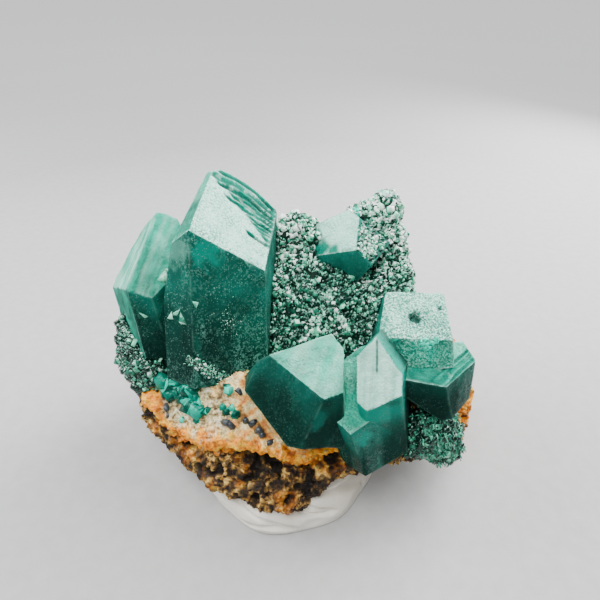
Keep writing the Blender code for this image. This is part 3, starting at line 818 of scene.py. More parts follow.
# %% Right and back crystals
RIGHT_UPPER = crystal(
    place=(10.5, 3.4, 12.2), lean=40, toward=134, turn=174,
    reach=dict(p0=2.3, p1=3.0, p2=3.0, p3=3.0, p4=3.9, p5=3.2, a=2.6, b=2.9, c=3.6, root=0.8),
    skew=dict(p0=(53, -23), p5=(330, 1), a=(-4, 39), b=(122, 42), c=(237, 43), root=(-167, -65)),
    frosted=("a", "b", "p5", "p0"), seen=("a", "b", "c", "p5", "p0", "p4"), step=0.10, worn=0.07, seed=43,
    frost=0.75, pitted=0.85, dim=dict(p5=0.25, p0=0.4),
    spots=(("haze", "a", 10.5, 3.4, 14.6, 9.0, 0.10), ("haze", "p5", 10.5, 0.9, 13.9, 9.0, 0.25)),
    pits=((9.95, 2.95, 14.8, 0.55, 0.5), (12.0, 3.9, 14.9, 0.22, 0.15)),
)
RIGHT_LOWER = crystal(
    place=(12.0, 1.2, 9.6), lean=0, toward=0, turn=0,
    reach=dict(p0=2.5, p1=2.7, p2=2.4, p3=1.2, p4=2.8, p5=3.0, a=2.8, slant=1.8, under=1.9, root=2.6),
    skew=dict(p0=(-48, 14), p1=(-22, 5), p2=(18, 0), p3=(100, 0), p4=(176, -8), p5=(-97, 1), a=(-56, 79),
              slant=(-156, -49), under=(-31, -57)),
    frosted=("a",), seen=("a", "p0", "p1", "p5", "slant"), step=0.10, worn=0.06, seed=51,
    frost=0.12, pitted=0.4, dust=0.25, glow=0.1, glow_depth=1.0, ridged="a",
    # The dark spots on p5 and p0 are painted shade.
    spots=(
        ("haze", "a", 10.3, -0.8, 12.3, 2.3, 0.97), ("dark_marks_and_shade", "p5", 10.7, -1.6, 10.5, 4.5, 0.9),
        ("dark_marks_and_shade", "p0", 12.2, -1.7, 10.2, 2.0, 0.7),
    ),
    ridges=((12.02, -1.51, 12.01), (0.73, 0.68, 0.03), (-0.68, 0.73, 0.0), 0.42, 0.08, 1.5, 0.0),
)
BACK = crystal(
    place=(5.3, 10.2, 16.4), lean=60, toward=153, turn=127,
    reach=dict(p0=2.7, p1=2.6, p2=2.2, p3=2.2, p4=3.0, p5=2.2, a=2.0, b=2.8, c=2.8, root=2.2),
    skew=dict(p0=(29, -1), p4=(270, 8), p5=(326, 4), b=(125, 46), c=(241, 38)),
    frosted=("a",), seen=("a", "b", "c", "p0", "p4", "p5"), step=0.10, worn=0.06, seed=61,
    frost=1.0, pitted=0.28, dust=0.2, glow=0.35,
    # The dark spot on p5 is painted shade.
    spots=(
        ("haze", "a", 2.7, 9.7, 16.7, 1.3, 1.0), ("haze", "a", 3.9, 8.7, 16.9, 0.9, 1.0),
        ("haze", "a", 5.0, 7.9, 17.2, 0.8, 1.0), ("haze", "a", 2.3, 11.0, 17.5, 0.8, 0.9),
        ("dark_marks_and_shade", "p5", 4.1, 8.2, 15.4, 3.0, 0.6),
    ),
)
large_crystal("right_upper_crystal", RIGHT_UPPER, "right_crystals")
large_crystal("right_lower_crystal", RIGHT_LOWER, "right_crystals")
large_crystal("back_small_crystal", BACK, "back_crystal")
CRYSTALS = (TALL, LEFT, FRONT_LEFT, FRONT_RIGHT, FRONT_LOW, RIGHT_UPPER, RIGHT_LOWER, BACK)

# %% [markdown]
# ## Tiny crystals
# The crust is thousands of crystals a third of a millimetre across. Each is the same simple form: six sides and
# three sloping end faces, 22 triangles. Blender could place linked copies of one object, but then all would wear
# one tone, and thousands of objects are slow to handle. Here one small table of points is turned, stretched and
# moved for all of them at once by multiplying arrays, and each crystal carries its own tone for the material, with
# painted light and shade that differ from face to face.

# %% One tiny crystal, repeated
RISE = 1.235  # height of the end over its shoulders, in radii
around = np.radians(60 * np.arange(6))
ring = np.stack([np.cos(around), np.sin(around)], 1)
shoulder = np.where(np.arange(6) % 2 == 0, -RISE, -0.5 * RISE)
TINY = np.concatenate([np.column_stack([ring, np.zeros(6)]), np.column_stack([ring, shoulder]), [[0, 0, 0]]])
TINY_ON_TOP = np.array([0] * 6 + [1] * 7)
TINY_QUADS = np.array([[i, (i + 1) % 6, 6 + (i + 1) % 6, 6 + i] for i in range(6)]
                      + [[12, 6 + (i - 1) % 6, 6 + i, 6 + (i + 1) % 6] for i in (0, 2, 4)]
                      + [[5, 4, 3, 0], [3, 2, 1, 0]])
print("a tiny crystal:", len(TINY), "points,", 2 * len(TINY_QUADS), "triangles")


def tiny_crystals(name, places, axes, radius, length, tone_and_shading, material, seed, contrast=0.9):
    """Point = place + radius (x u + y v) + (length + radius z) w for each point (x, y, z) of the end, and with
    length 0 for the root, where w is the crystal's axis and u, v are across it at a random turn. The length is
    more than 1.235 radii, so that the end stays above the root. Each face is lighter or darker than its crystal by
    up to half the contrast: painted light and shade, so that one face flashes white like a glint beside a dark one."""
    picker = np.random.default_rng(seed)
    axes = axes / np.linalg.norm(axes, axis=1)[:, None]
    across = np.cross(axes, picker.normal(size=axes.shape))
    across /= np.linalg.norm(across, axis=1)[:, None]
    other = np.cross(axes, across)
    radius = np.broadcast_to(radius, len(places))[:, None, None]
    length = np.broadcast_to(length, len(places))[:, None, None]
    shape = TINY[None] * radius
    rise = shape[..., 2:] + TINY_ON_TOP[None, :, None] * length
    points = (np.asarray(places)[:, None] + shape[..., :1] * across[:, None] + shape[..., 1:2] * other[:, None]
              + rise * axes[:, None])
    quads = TINY_QUADS[None] + len(TINY) * np.arange(len(places))[:, None, None]
    # painted light and shade: each face's value is shifted up or down at random
    tones_and_shading = np.repeat(tone_and_shading, len(TINY_QUADS)) + contrast * (picker.random(len(places) * len(TINY_QUADS)) - 0.5)
    marks = {"tone_and_shading": np.clip(tones_and_shading, 0, 1)}
    piece = make_piece(name, points.reshape(-1, 3), quads.reshape(-1, 4), [], [material], marks)
    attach(piece, "root")
    return piece


# %% Places for tiny crystals


def scatter(node, count, seed):
    """Random places on a solid, even by area, and the directions out of it: a triangle is picked by its share of
    the area, and the place in it is a + r (1 - s) (b - a) + r s (c - a) with r the root of a random number."""
    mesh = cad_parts[node].data
    mesh.calc_loop_triangles()
    corners = np.empty(len(mesh.vertices) * 3, np.float32)
    mesh.vertices.foreach_get("co", corners)
    index = np.empty(len(mesh.loop_triangles) * 3, np.int32)
    mesh.loop_triangles.foreach_get("vertices", index)
    a, b, c = (corners.reshape(-1, 3)[index.reshape(-1, 3)[:, i]] / MM for i in range(3))
    normal = np.cross(b - a, c - a)
    area = np.linalg.norm(normal, axis=1)
    picker = np.random.default_rng(seed)
    chosen = picker.choice(len(area), count, p=area / area.sum())
    r = np.sqrt(picker.random(count))[:, None]
    s = picker.random(count)[:, None]
    a, b, c = a[chosen], b[chosen], c[chosen]
    return a + r * (1 - s) * (b - a) + r * s * (c - a), normal[chosen] / area[chosen][:, None]


def outside(points, margin):
    """True for points that lie outside every large crystal by at least a margin."""
    free = np.ones(len(points), bool)
    for spec in CRYSTALS:
        _, normals, reaches = planes(spec)
        free &= ((points - np.array(spec["place"])) @ normals.T - reaches).max(1) > margin
    return free


trial, _ = scatter("druse_middle", 1000, 1)
print("free of large crystals in the middle:", round(float(outside(trial, 0).mean()), 2))

# %% [markdown]
# ## The crust
# On the real piece these crystals grew on every free surface and stand about square to it, though none quite. A
# particle system could scatter them, but arrays keep the crust the same on every run, and let size and tone follow
# the place. The solid crust stays under them as their bed. Sizes follow a skewed spread, with many small and a few
# large. A soft pattern makes some patches lighter than others. The upper part, which faces the light, gets painted
# light and is nearly white, and two hollows beside the back crystal get painted shade and are nearly black.

# %% Crusts of tiny crystals
# The contrast between faces is painted light and shade on each tiny crystal.
CRUSTS = (  # places tried, solid, name, seed, how much lighter, and the contrast between faces
    (15000, "druse_middle", "middle_crust", 5, 0.00, 1.15),
    (4800, "druse_left", "left_crust", 6, -0.16, 1.15),
    (4200, "druse_right", "right_crust", 7, -0.15, 0.85),
)
MOST = 9000  # tiny crystals in one crust, which keeps it under 200,000 triangles
# Two hollows beside the back crystal get painted shade: centre and reach, mm.
SHADED_HOLLOWS = (((3.4, 8.4, 15.2), 1.3), ((2.2, 10.8, 16.8), 1.0))  # dark hollows: centre and reach, mm
for count, node, name, seed, lighter, contrast in CRUSTS:
    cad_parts[node].data.materials.clear()
    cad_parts[node].data.materials.append(crust_bed)
    picker = np.random.default_rng(seed)
    places, out = scatter(node, count, seed)
    keep = outside(places, -0.05) & (out[:, 2] > -0.35)
    places, out = places[keep][:MOST], out[keep][:MOST]
    radius = 0.11 + 0.13 * picker.random(len(places)) ** 1.5 + 0.20 * picker.random(len(places)) ** 7
    length = radius * (1.30 + 0.9 * picker.random(len(places)))
    axes = out + 0.65 * picker.normal(size=out.shape)
    patch = cloudy(places * 0.55, 3, seed) + 0.7 * cloudy(places * 1.3, 2, seed + 40)
    tone_and_shading = 0.05 + lighter + 0.58 * picker.random(len(places)) + 0.22 * patch
    # painted light: the upper crust, which faces the light, is made lighter towards white
    tone_and_shading += ease(13.0, 18.0, places[:, 2]) * (0.82 - tone_and_shading) * 0.65
    # painted shade in the two hollows beside the back crystal
    for centre, reach in SHADED_HOLLOWS:
        tone_and_shading -= 0.6 * np.exp(-((np.linalg.norm(places - centre, axis=1) / reach) ** 2))
    sunk = 0.62 * radius + 0.02
    tiny_crystals(name, places - sunk[:, None] * out, axes, radius, length, tone_and_shading, tiny_green, seed, contrast)

# %% [markdown]
# ## The rock
# The matrix is a lump of weathered stone: a cream and pink ledge on top, stained orange at its lip, and a brown,
# pitted face under it. A displaced ball would lose the ledge, and sculpting can't be repeated from numbers, so it
# is a loft. At each station along its width stands a closed outline of thirteen points: the lip in front, the face
# under it, the sole in the putty and the crest behind. Spreading those few points over a fine grid is done with
# cubic B-splines, which is a matrix multiplication each way. Noise along the surface's own direction then gives
# lumps, nodules, pits and crumbs. Four numbers a point say where it is cream, where pink, orange and dark.

# %% Rock: the outlines
ROCK = np.array([  # x, lip y and z, toe y and z, back y, crest z, and how far the top climbs behind the lip
    (-13.6, 3.9, 7.4, 4.2, 6.2, 10.6, 10.0, 1.3),
    (-12.4, 1.4, 7.7, 1.4, 5.8, 12.0, 11.4, 1.9),
    (-10.7, -0.3, 7.3, -0.7, 4.4, 12.8, 12.6, 2.7),
    (-8.5, -2.2, 5.9, -2.2, 3.3, 13.2, 14.0, 4.8),
    (-6.4, -3.4, 7.1, -3.6, 2.7, 12.8, 15.2, 4.8),
    (-3.6, -3.9, 7.8, -5.9, 2.0, 13.0, 15.8, 2.7),
    (-0.9, -4.1, 6.8, -6.5, 1.8, 13.4, 16.0, 2.4),
    (1.2, -4.1, 6.1, -6.2, 2.2, 13.4, 16.0, 3.2),
    (2.8, -3.9, 6.4, -5.0, 3.6, 13.6, 16.4, 3.2),
    (5.2, -3.0, 6.8, -3.6, 4.4, 14.0, 17.2, 3.2),
    (8.2, -2.0, 6.8, -2.6, 4.0, 14.0, 17.6, 3.2),
    (11.2, -1.2, 6.8, -2.0, 3.4, 11.6, 13.0, 3.1),
    (13.8, -0.6, 7.9, -1.4, 3.4, 9.4, 11.0, 1.6),
    (15.0, 1.0, 8.6, 0.6, 4.6, 6.4, 9.2, 0.3),
])
SOLE = 1.2  # the rock's lowest height inside the putty, mm


def rock_outlines(rows):
    """For each row, thirteen points (x, y, z) from the lip down the face, under, up the back and home again."""
    x, lip_y, lip_z, toe_y, toe_z, back_y, crest_z, climb = rows.T
    middle = (lip_y + back_y) / 2
    sole = np.maximum(SOLE, toe_z * 0.9)
    drop = lip_z - toe_z
    deep = back_y - lip_y
    side = [
        (lip_y, lip_z), (lip_y + 0.30 * drop, lip_z - 0.24 * drop),
        (0.4 * lip_y + 0.6 * toe_y, lip_z - 0.55 * drop), (toe_y, toe_z),
        (toe_y + 0.25 * (middle - toe_y), sole), (middle, sole),
        (middle + 0.6 * (back_y - middle), sole + 0.12 * (crest_z - sole)),
        (back_y, sole + 0.45 * (crest_z - sole)), (back_y - 0.06 * deep, crest_z - 0.12 * (crest_z - sole)),
        (back_y - 0.22 * deep, crest_z),
        (middle + 0.2 * (back_y - middle), lip_z + climb + 0.35 * (crest_z - lip_z - climb)),
        (lip_y + 0.45 * (middle - lip_y), lip_z + climb), (lip_y + 0.15 * (middle - lip_y), lip_z + 0.3 * climb),
    ]
    return np.stack([np.stack([x, y, z], -1) for y, z in side], 1)


outlines = rock_outlines(ROCK)
print("rock outlines:", outlines.shape)

# %% Rock: the smooth grid
CAP_RINGS, CAP_LENGTH = 8, 0.9  # the rounded ends: rings, and how far they stand out in mm


def spline_shares(at, count, closed):
    """How much of each control point goes into each place: the cubic B-spline's four shares (1-t)³/6,
    (3t³-6t²+4)/6, (-3t³+3t²+3t+1)/6 and t³/6, on neighbours that wrap round or stop at the end."""
    low = np.floor(at).astype(int)
    t = at - low
    shares = np.stack([(1 - t) ** 3, 3 * t**3 - 6 * t**2 + 4, -3 * t**3 + 3 * t**2 + 3 * t + 1, t**3]) / 6
    matrix = np.zeros((len(at), count))
    for step, share in zip((-1, 0, 1, 2), shares):
        index = (low + step) % count if closed else np.clip(low + step, 0, count - 1)
        np.add.at(matrix, (np.arange(len(at)), index), share)
    return matrix


def capped(grid):
    """The grid with both ends closed in a round: ring r is shrunk to k = sqrt(1 - r²) about its middle and moved
    out by (1 - k) of the cap's length, and a last row holds the tip's single point over and over."""
    centre = grid.mean(1, keepdims=True)
    shrink = np.sqrt(1 - (np.arange(CAP_RINGS) / CAP_RINGS) ** 2)
    ends = [np.array([centre[end] + (grid[end] - centre[end]) * k + np.array([way * CAP_LENGTH * (1 - k), 0, 0])
                      for k in shrink]) for end, way in ((0, -1), (-1, 1))]
    tips = [np.repeat(centre[end][None] + [way * CAP_LENGTH, 0, 0], grid.shape[1], 1)
            for end, way in ((0, -1), (-1, 1))]
    return np.concatenate([tips[0], ends[0][:0:-1], grid, ends[1][1:], tips[1]])


along = np.linspace(-1, len(ROCK), 300)
# Stations run round the outline, 13 in all. From 10.6 over 13 to 3.6 is the front, which gets the finer grid.
station = np.concatenate([np.linspace(10.6, 16.6, 205, endpoint=False), np.linspace(3.6, 10.6, 80, endpoint=False)])
station = station % 13
across_shares, round_shares = spline_shares(along, len(ROCK), False), spline_shares(station, 13, True)
rock_grid = capped(np.einsum("ai,rj,ijk->ark", across_shares, round_shares, outlines))
print("rock grid:", rock_grid.shape)

# %% Rock: where its parts are


def grid_normals(grid):
    """Unit cross products of the two grid directions, the second of which is closed."""
    down = np.gradient(grid, axis=0)
    side = np.roll(grid, -1, axis=1) - np.roll(grid, 1, axis=1)
    normal = np.cross(side, down)
    size = np.linalg.norm(normal, axis=-1, keepdims=True)
    return normal / np.maximum(size, 1e-9)


def near_station(low, high, soft=0.35):
    """1 where the outline's running number lies between two stations, with soft ends; it counts round 13, and
    the stations may differ from point to point."""
    running = np.where(station < 6, station + 13, station)
    return ease(low - soft, low + soft, running) * (1 - ease(high - soft, high + soft, running))


x = rock_grid[..., 0]
face = np.broadcast_to(near_station(13.4, 17.0), x.shape)  # the pitted front face
top = np.broadcast_to(near_station(10.4, 12.9), x.shape)  # the ledge's flat top
lip = np.broadcast_to(near_station(12.3, 13.9, 0.25), x.shape)  # the ledge's front rim
ledge = np.maximum(top, lip)
print("share of the grid on the front face:", round(float(face.mean()), 2))

# %% Rock: relief
seed_distance, seed_number = near_seeds(rock_grid * 1.55, 3)
crumb_distance, crumb_number = near_seeds(rock_grid * 3.6, 8)
nodules = np.sqrt(np.clip(1 - (seed_distance / 0.62) ** 2, 0, 1))
crumbs = np.sqrt(np.clip(1 - (crumb_distance / 0.6) ** 2, 0, 1))
cavities = ease(0.10, 0.55, cloudy(rock_grid * 1.15, 3, 15))
height = 0.42 * cloudy(rock_grid * 0.33, 3, 2) + 0.10 * cloudy(rock_grid * 2.2, 3, 4)
height += face * (0.22 * nodules * (seed_number > 0.35) + 0.20 * crumbs - 0.62 * cavities)
smoother = 0.12 * crumbs * (crumb_number > 0.4) + 0.14 * cloudy(rock_grid * 1.3, 3, 6)
height += (1 - face) * smoother + lip * 0.22 * nodules
shadow = np.exp(-(((x + 2.2) / 1.5) ** 2)) * near_station(13.35, 14.3, 0.25)  # a dark groove under the lip
height -= 0.55 * shadow
rock_points = rock_grid + grid_normals(rock_grid) * height[..., None]
print("relief from", round(float(height.min()), 2), "to", round(float(height.max()), 2), "mm")

# %% Rock: room for the crystals
# Where the rock would run inside a large crystal it sinks straight down to just under the crystal's lower side:
# the way down to a plane n.x = d is (d - n.x) / -n_z, and the nearest plane that faces down is met first.
UNDER, LOWEST = 0.08, 4.0  # how far below the crystal it ends, and the height that it never sinks below, mm
before = rock_points[..., 2].copy()
for spec in CRYSTALS:
    _, normals, reaches = planes(spec)
    depth = reaches - (rock_points - np.array(spec["place"])) @ normals.T
    facing_down = normals[:, 2] < -0.05
    way = (depth[..., facing_down] / -normals[facing_down, 2]).min(-1)
    sink = np.where(depth.min(-1) > -0.05, np.clip(way + UNDER, 0, 9), 0)
    rock_points[..., 2] -= np.minimum(sink, np.maximum(rock_points[..., 2] - LOWEST, 0))
print("rock points lowered:", int((rock_points[..., 2] < before).sum()))

# %% Rock: colour marks
# Noise frays every border. The cream and the pink lie on the ledge, and are stripped off in three patches where
# the brown rock comes through. Orange stains run along the lip, at both ends and in spots on the face. The dark
# mark covers the face's cavities and some of its nodules, and paints shade into the groove under the lip.
stain, blot = cloudy(rock_grid * 0.8, 3, 12), cloudy(rock_grid * 1.7, 3, 19)
frayed = x + 0.8 * blot
stripped = np.zeros(x.shape)
for centre, reach in (((-5.2, -0.2, 9.9), 1.1), ((-3.4, -1.7, 9.1), 0.9), ((-2.0, -2.8, 8.4), 0.6)):
    away = np.linalg.norm(rock_grid - centre, axis=-1) / reach + 0.7 * blot
    stripped = np.maximum(stripped, 0.85 * (1 - ease(0.4, 0.9, away)))
cream = ledge * ease(-10.4, -9.0, frayed) * (1 - ease(-5.2, -3.6, frayed)) * ease(-0.6, -0.2, stain + 0.3)
cream = cream * (1 - near_station(12.75, 14.0, 0.25)) * (1 - stripped)
pink = ledge * ease(-5.6, -4.4, frayed) * (1 - ease(0.5, 2.0, x)) * (1 - stripped)
orange = 1.1 * near_station(12.45 + 0.35 * blot, 13.80, 0.30) * ease(-0.75, -0.1, stain + 0.45) * (1 - ease(3, 6, x))
orange = np.maximum(orange, ledge * (1 - ease(-10.8, -9.4, frayed)))
orange = np.clip(np.maximum(orange, 0.40 * face * ease(0.22, 0.50, cloudy(rock_grid * 0.55, 3, 27))), 0, 1)
orange = np.maximum(orange, ease(12.8, 14.2, x) * ease(-0.5, 0.3, stain + 0.3))
# dark: the face's cavities and some nodules, and painted shade in the groove under the lip
dark = np.clip(face * (cavities + 0.9 * (seed_number > 0.72) * nodules) + shadow, 0, 1)
rock_marks = {"cream": cream, "orange": orange, "dark": dark, "pink": pink}
print("share of each colour:", {key: round(float(value.mean()), 2) for key, value in rock_marks.items()})

# %% Rock: the material
rock_stone, tree, shader = new_material("iron-stained rock", {"Specular IOR Level": 0.35})
grain = use(tree, grain_group, Scale=2600.0, Bump=0.9, Height=0.00025)
coarse = use(tree, grain_group, Scale=1500.0, Bump=0.5, Height=0.0002)["Value"]
dust = use(tree, speck_group, Scale=2400.0, Size=0.36, Share=0.30)["Mask"]
knots = use(tree, speck_group, Scale=1500.0, Size=0.46, Share=0.42)["Mask"]
brown = ramp(tree, coarse, [(0.36, (0.012, 0.008, 0.006)), (0.47, (0.100, 0.050, 0.016)),
                            (0.55, (0.420, 0.220, 0.045)), (0.66, (0.950, 0.620, 0.190))])
brown = coats(tree, brown, (knots, (0.016, 0.012, 0.010), 0.75), (dust, (0.010, 0.007, 0.006), 0.90))
rust = ramp(tree, coarse, [(0.30, (0.360, 0.080, 0.003)), (0.47, (1.000, 0.310, 0.004)), (0.68, (1.000, 0.600, 0.050))])
rust = coats(tree, rust, (dust, (0.860, 0.640, 0.360), 0.5))
pale = ramp(tree, grain["Value"], [(0.34, (0.150, 0.100, 0.040)), (0.46, (0.620, 0.480, 0.220)),
                                   (0.62, (0.900, 0.810, 0.560))])
pale = coats(tree, pale, (dust, (0.200, 0.120, 0.050), 0.55))
rosy = ramp(tree, coarse, [(0.34, (0.720, 0.240, 0.060)), (0.46, (1.000, 0.490, 0.110)), (0.60, (1.000, 0.840, 0.420))])
colour = coats(tree, brown, ("pink", rosy), ("cream", pale), ("orange", rust))
crisp = ramp(tree, use(tree, grain_group, Scale=5200.0)["Value"], [(0.38, 0.50), (0.52, 1.0)])
# The dark coat includes the painted shade in the groove under the lip.
colour = coats(tree, blend(tree, 0.75, colour, crisp, "MULTIPLY"), ("dark", (0.010, 0.007, 0.005)))
finish(tree, shader, colour, ramp(tree, grain["Value"], [(0.3, 0.55), (0.7, 0.95)]), grain["Normal"])
print("made", rock_stone.name)

# %% Rock: the piece


def grid_quads(rows, columns):
    """The faces of a grid whose second direction is closed: (i, j), (i, j+1), (i+1, j+1), (i+1, j)."""
    i, j = np.meshgrid(np.arange(rows - 1), np.arange(columns), indexing="ij")
    k = (j + 1) % columns
    return np.stack([i * columns + j, i * columns + k, (i + 1) * columns + k, (i + 1) * columns + j], -1).reshape(-1, 4)


rock = make_piece("rock", rock_points.reshape(-1, 3), grid_quads(*rock_points.shape[:2]), [], [rock_stone],
                  {key: value.ravel() for key, value in rock_marks.items()}, sharp=60)
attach(rock, "root")
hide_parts("matrix")

# %% [markdown]
# ## Small crystals on the ledge
# On the cream ledge stand small teal crystals and a few dark ones, half sunk in it. They could be scattered as the
# crust is, but there are so few that the eye knows each one's place. So each is listed one by one, snapped to the
# nearest point of the rock, and leans its own way.

# %% Teal and dark crystals
rock_flat = rock_points.reshape(-1, 3)


def on_rock(places):
    """The rock's nearest point to each place."""
    return np.array([rock_flat[((rock_flat - place) ** 2).sum(1).argmin()] for place in places])


picker = np.random.default_rng(17)
TEAL = np.array([  # the cluster at the left, and from (-6.1, -1.5, 9.3) on the smaller single ones
    (-10.1, 1.8, 9.0), (-9.8, 1.3, 9.2), (-9.4, 0.7, 9.5), (-8.9, 0.6, 9.9), (-8.5, 0.1, 9.8), (-8.9, 0.2, 9.2),
    (-9.4, 0.4, 8.9), (-7.7, -0.4, 10.0), (-8.1, -0.1, 9.9), (-7.4, -0.7, 9.7), (-7.9, -0.6, 9.2), (-8.4, -0.3, 9.2),
    (-7.1, -0.9, 9.2), (-7.6, -0.8, 8.8), (-6.9, -1.3, 8.9), (-9.9, 0.9, 8.6), (-9.1, 0.9, 9.7), (-8.8, 0.4, 9.5),
    (-6.1, -1.5, 9.3), (-6.4, -1.5, 9.0), (-8.3, -1.1, 7.5), (-7.0, -1.7, 8.3), (-4.7, -1.5, 9.0), (-4.3, -1.2, 9.0),
    (-4.2, -1.6, 8.7), (-4.6, -0.3, 10.0), (-4.8, -0.1, 10.2), (-5.0, -1.3, 9.3),
])
CLUSTERED = 18
size = np.concatenate([0.46 + 0.34 * picker.random(CLUSTERED), 0.28 + 0.16 * picker.random(len(TEAL) - CLUSTERED)])
lean = np.array([0, -0.6, 0.8]) + 0.5 * picker.normal(size=TEAL.shape)
lean /= np.linalg.norm(lean, axis=1)[:, None]
teal = tiny_crystals("teal_cluster", on_rock(TEAL) - 0.5 * size[:, None] * lean, lean, size, size * 1.7,
                     0.50 + 0.2 * picker.normal(size=len(TEAL)), teal_stone, 3, 1.0)
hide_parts("teal_crystals")

DARK = np.array([(-9.3, 0.0, 7.2), (-4.8, -2.2, 8.6), (-3.2, -2.2, 8.8), (-1.8, -3.0, 8.2), (-3.9, 0.0, 9.8),
                 (-2.2, -2.8, 8.4), (-2.7, -2.4, 8.6), (-4.3, -2.5, 8.6), (-9.6, 0.1, 7.6), (-1.2, -3.4, 7.8)])
size = 0.20 + 0.12 * picker.random(len(DARK))
lean = np.array([0.3, -0.3, 0.7]) + 0.7 * picker.normal(size=DARK.shape)
tiny_crystals("dark_crystals", on_rock(DARK) - 0.2 * lean, lean, size, size * 3.2, picker.random(len(DARK)),
              dark_stone, 4)

# %% [markdown]
# ## Tiny crystals on the large ones
# A streak of white sparkles runs down the front of the tall crystal, with a loose cloud of finer ones over it. The
# upper right crystal and the top of the crust carry a few bright teal flecks; those on the top of the crust stand
# for a cyan highlight there, a painted highlight. The side of the back crystal is overgrown with crust. Painted dots
# would not glint as the view turns, so these are real tiny crystals, moved along a face's direction until they lie
# on it.

# %% Streak and sparkles on the tall crystal
IN_STREAK, IN_CLOUD = 260, 90


def laid_on(points, spec, face, sunk=0.0):
    """Points moved onto a face, or a little under it: x - (how far x stands out + sunk) n."""
    return points - (above(points, spec, face) + sunk)[:, None] * direction_of(spec, face)


streak = np.array([-7.4, 0.35, 12.95]) + picker.random((IN_STREAK, 1)) * np.array([2.6, 0.15, -2.5])
streak += picker.normal(size=(IN_STREAK, 3)) * (0.28, 0.10, 0.20)
sparks = np.array([-4.3, 2.3, 14.9]) + picker.normal(size=(IN_CLOUD, 3)) * (0.55, 0.10, 0.55)
shine = laid_on(np.concatenate([streak, sparks]), TALL, "p5", 0.03)
size = np.concatenate([0.06 + 0.08 * picker.random(IN_STREAK), 0.03 + 0.04 * picker.random(IN_CLOUD)])
tiny_crystals("streak_on_tall", shine, direction_of(TALL, "p5") + 0.5 * picker.normal(size=shine.shape), size,
              size * 1.3, 0.50 + 0.15 * picker.normal(size=len(shine)), tiny_green, 9)

# %% Bright flecks and a painted highlight
flecks = np.random.default_rng(22)
spots = laid_on(np.array([10.64, 0.75, 13.94]) + flecks.normal(size=(26, 3)) * (0.30, 0.10, 0.22), RIGHT_UPPER, "p5")
# painted highlight: six bright flecks on the top of the crust stand for a cyan highlight
spots = np.concatenate([spots, np.array([5.70, 10.90, 19.85]) + flecks.normal(size=(6, 3)) * 0.16])
size = 0.10 + 0.14 * flecks.random(len(spots))
out = direction_of(RIGHT_UPPER, "p5")
tiny_crystals("teal_flecks_and_highlight", spots - 0.4 * size[:, None] * out, out + 0.5 * flecks.normal(size=spots.shape), size,
              size * 1.3, 0.85 + 0.15 * flecks.random(len(spots)), teal_stone, 21, 0.4)

# %% Crust on the back crystal
# Random mixes of the face's corners fill the face evenly enough, and only the upper ones are kept.
_, normals, reaches = planes(BACK)
out = direction_of(BACK, "p0")
spread = outline_of(corners_of(normals, reaches), out, BACK["reach"]["p0"]) + np.array(BACK["place"])
mixed = picker.dirichlet(np.ones(len(spread)), 420) @ spread
mixed = mixed[mixed[:, 2] + 0.8 * cloudy(mixed * 0.9, 2, 5) > 17.0]
size = 0.09 + 0.14 * picker.random(len(mixed)) ** 2
tiny_crystals("crust_on_back", mixed - 0.05 * out, out + 0.7 * picker.normal(size=mixed.shape), size, size * 1.3,
              0.12 + 0.8 * picker.random(len(mixed)), tiny_green, 10)

# %% [markdown]
# ## Corners of crystals grown into the large ones, and the fibres
# On the left flank of the tall crystal and on its neighbour, the corners of smaller crystals just break the
# surface. Seven low three-sided pyramids stand for them, and each side has its own tone, painted light or shade, so
# one flashes white like a painted glint beside a dark one. At the lower right, the crust ends in fine fibres that lie
# side by side: they are the same tiny form, drawn out long.

# %% Grown-in corners
FLANK, TOP_FACE, FRONT_FACE, TALL_FRONT = (
    direction_of(TALL, "p4"), direction_of(LEFT, "a"), direction_of(LEFT, "p5"), direction_of(TALL, "p5"))
# The tones of the three sides are painted light and shade: the highest are painted glints.
GROWN_IN = (  # three corners on a face, the face's direction, height in mm, and the tones of the three sides
    (((-9.95, 4.35, 17.3), (-9.35, 5.05, 17.75), (-8.95, 4.45, 16.95)), TOP_FACE, 0.50, (0.90, 0.95, 0.85)),
    (((-9.30, 5.15, 17.8), (-8.85, 5.60, 17.7), (-8.60, 4.95, 17.0)), TOP_FACE, 0.45, (0.85, 0.80, 0.90)),
    (((-9.20, 2.66, 14.80), (-8.70, 2.55, 15.70), (-8.45, 2.28, 15.05)), FLANK, 0.40, (0.95, 0.90, 0.60)),
    (((-8.65, 2.50, 15.60), (-7.85, 2.18, 16.25), (-8.20, 2.15, 15.45)), FLANK, 0.35, (0.90, 0.80, 0.70)),
    (((-7.90, 2.15, 16.10), (-7.35, 1.46, 15.30), (-7.95, 1.75, 15.00)), FLANK, 0.40, (0.60, 0.92, 0.55)),
    (((-11.40, 2.85, 15.45), (-10.55, 2.90, 14.90), (-10.90, 2.85, 14.65)), FRONT_FACE, 0.30, (0.85, 0.60, 0.80)),
    (((-6.95, 1.90, 17.30), (-6.38, 2.00, 17.00), (-6.60, 1.72, 16.40)), TALL_FRONT, 0.30, (0.80, 0.90, 0.70)),
)


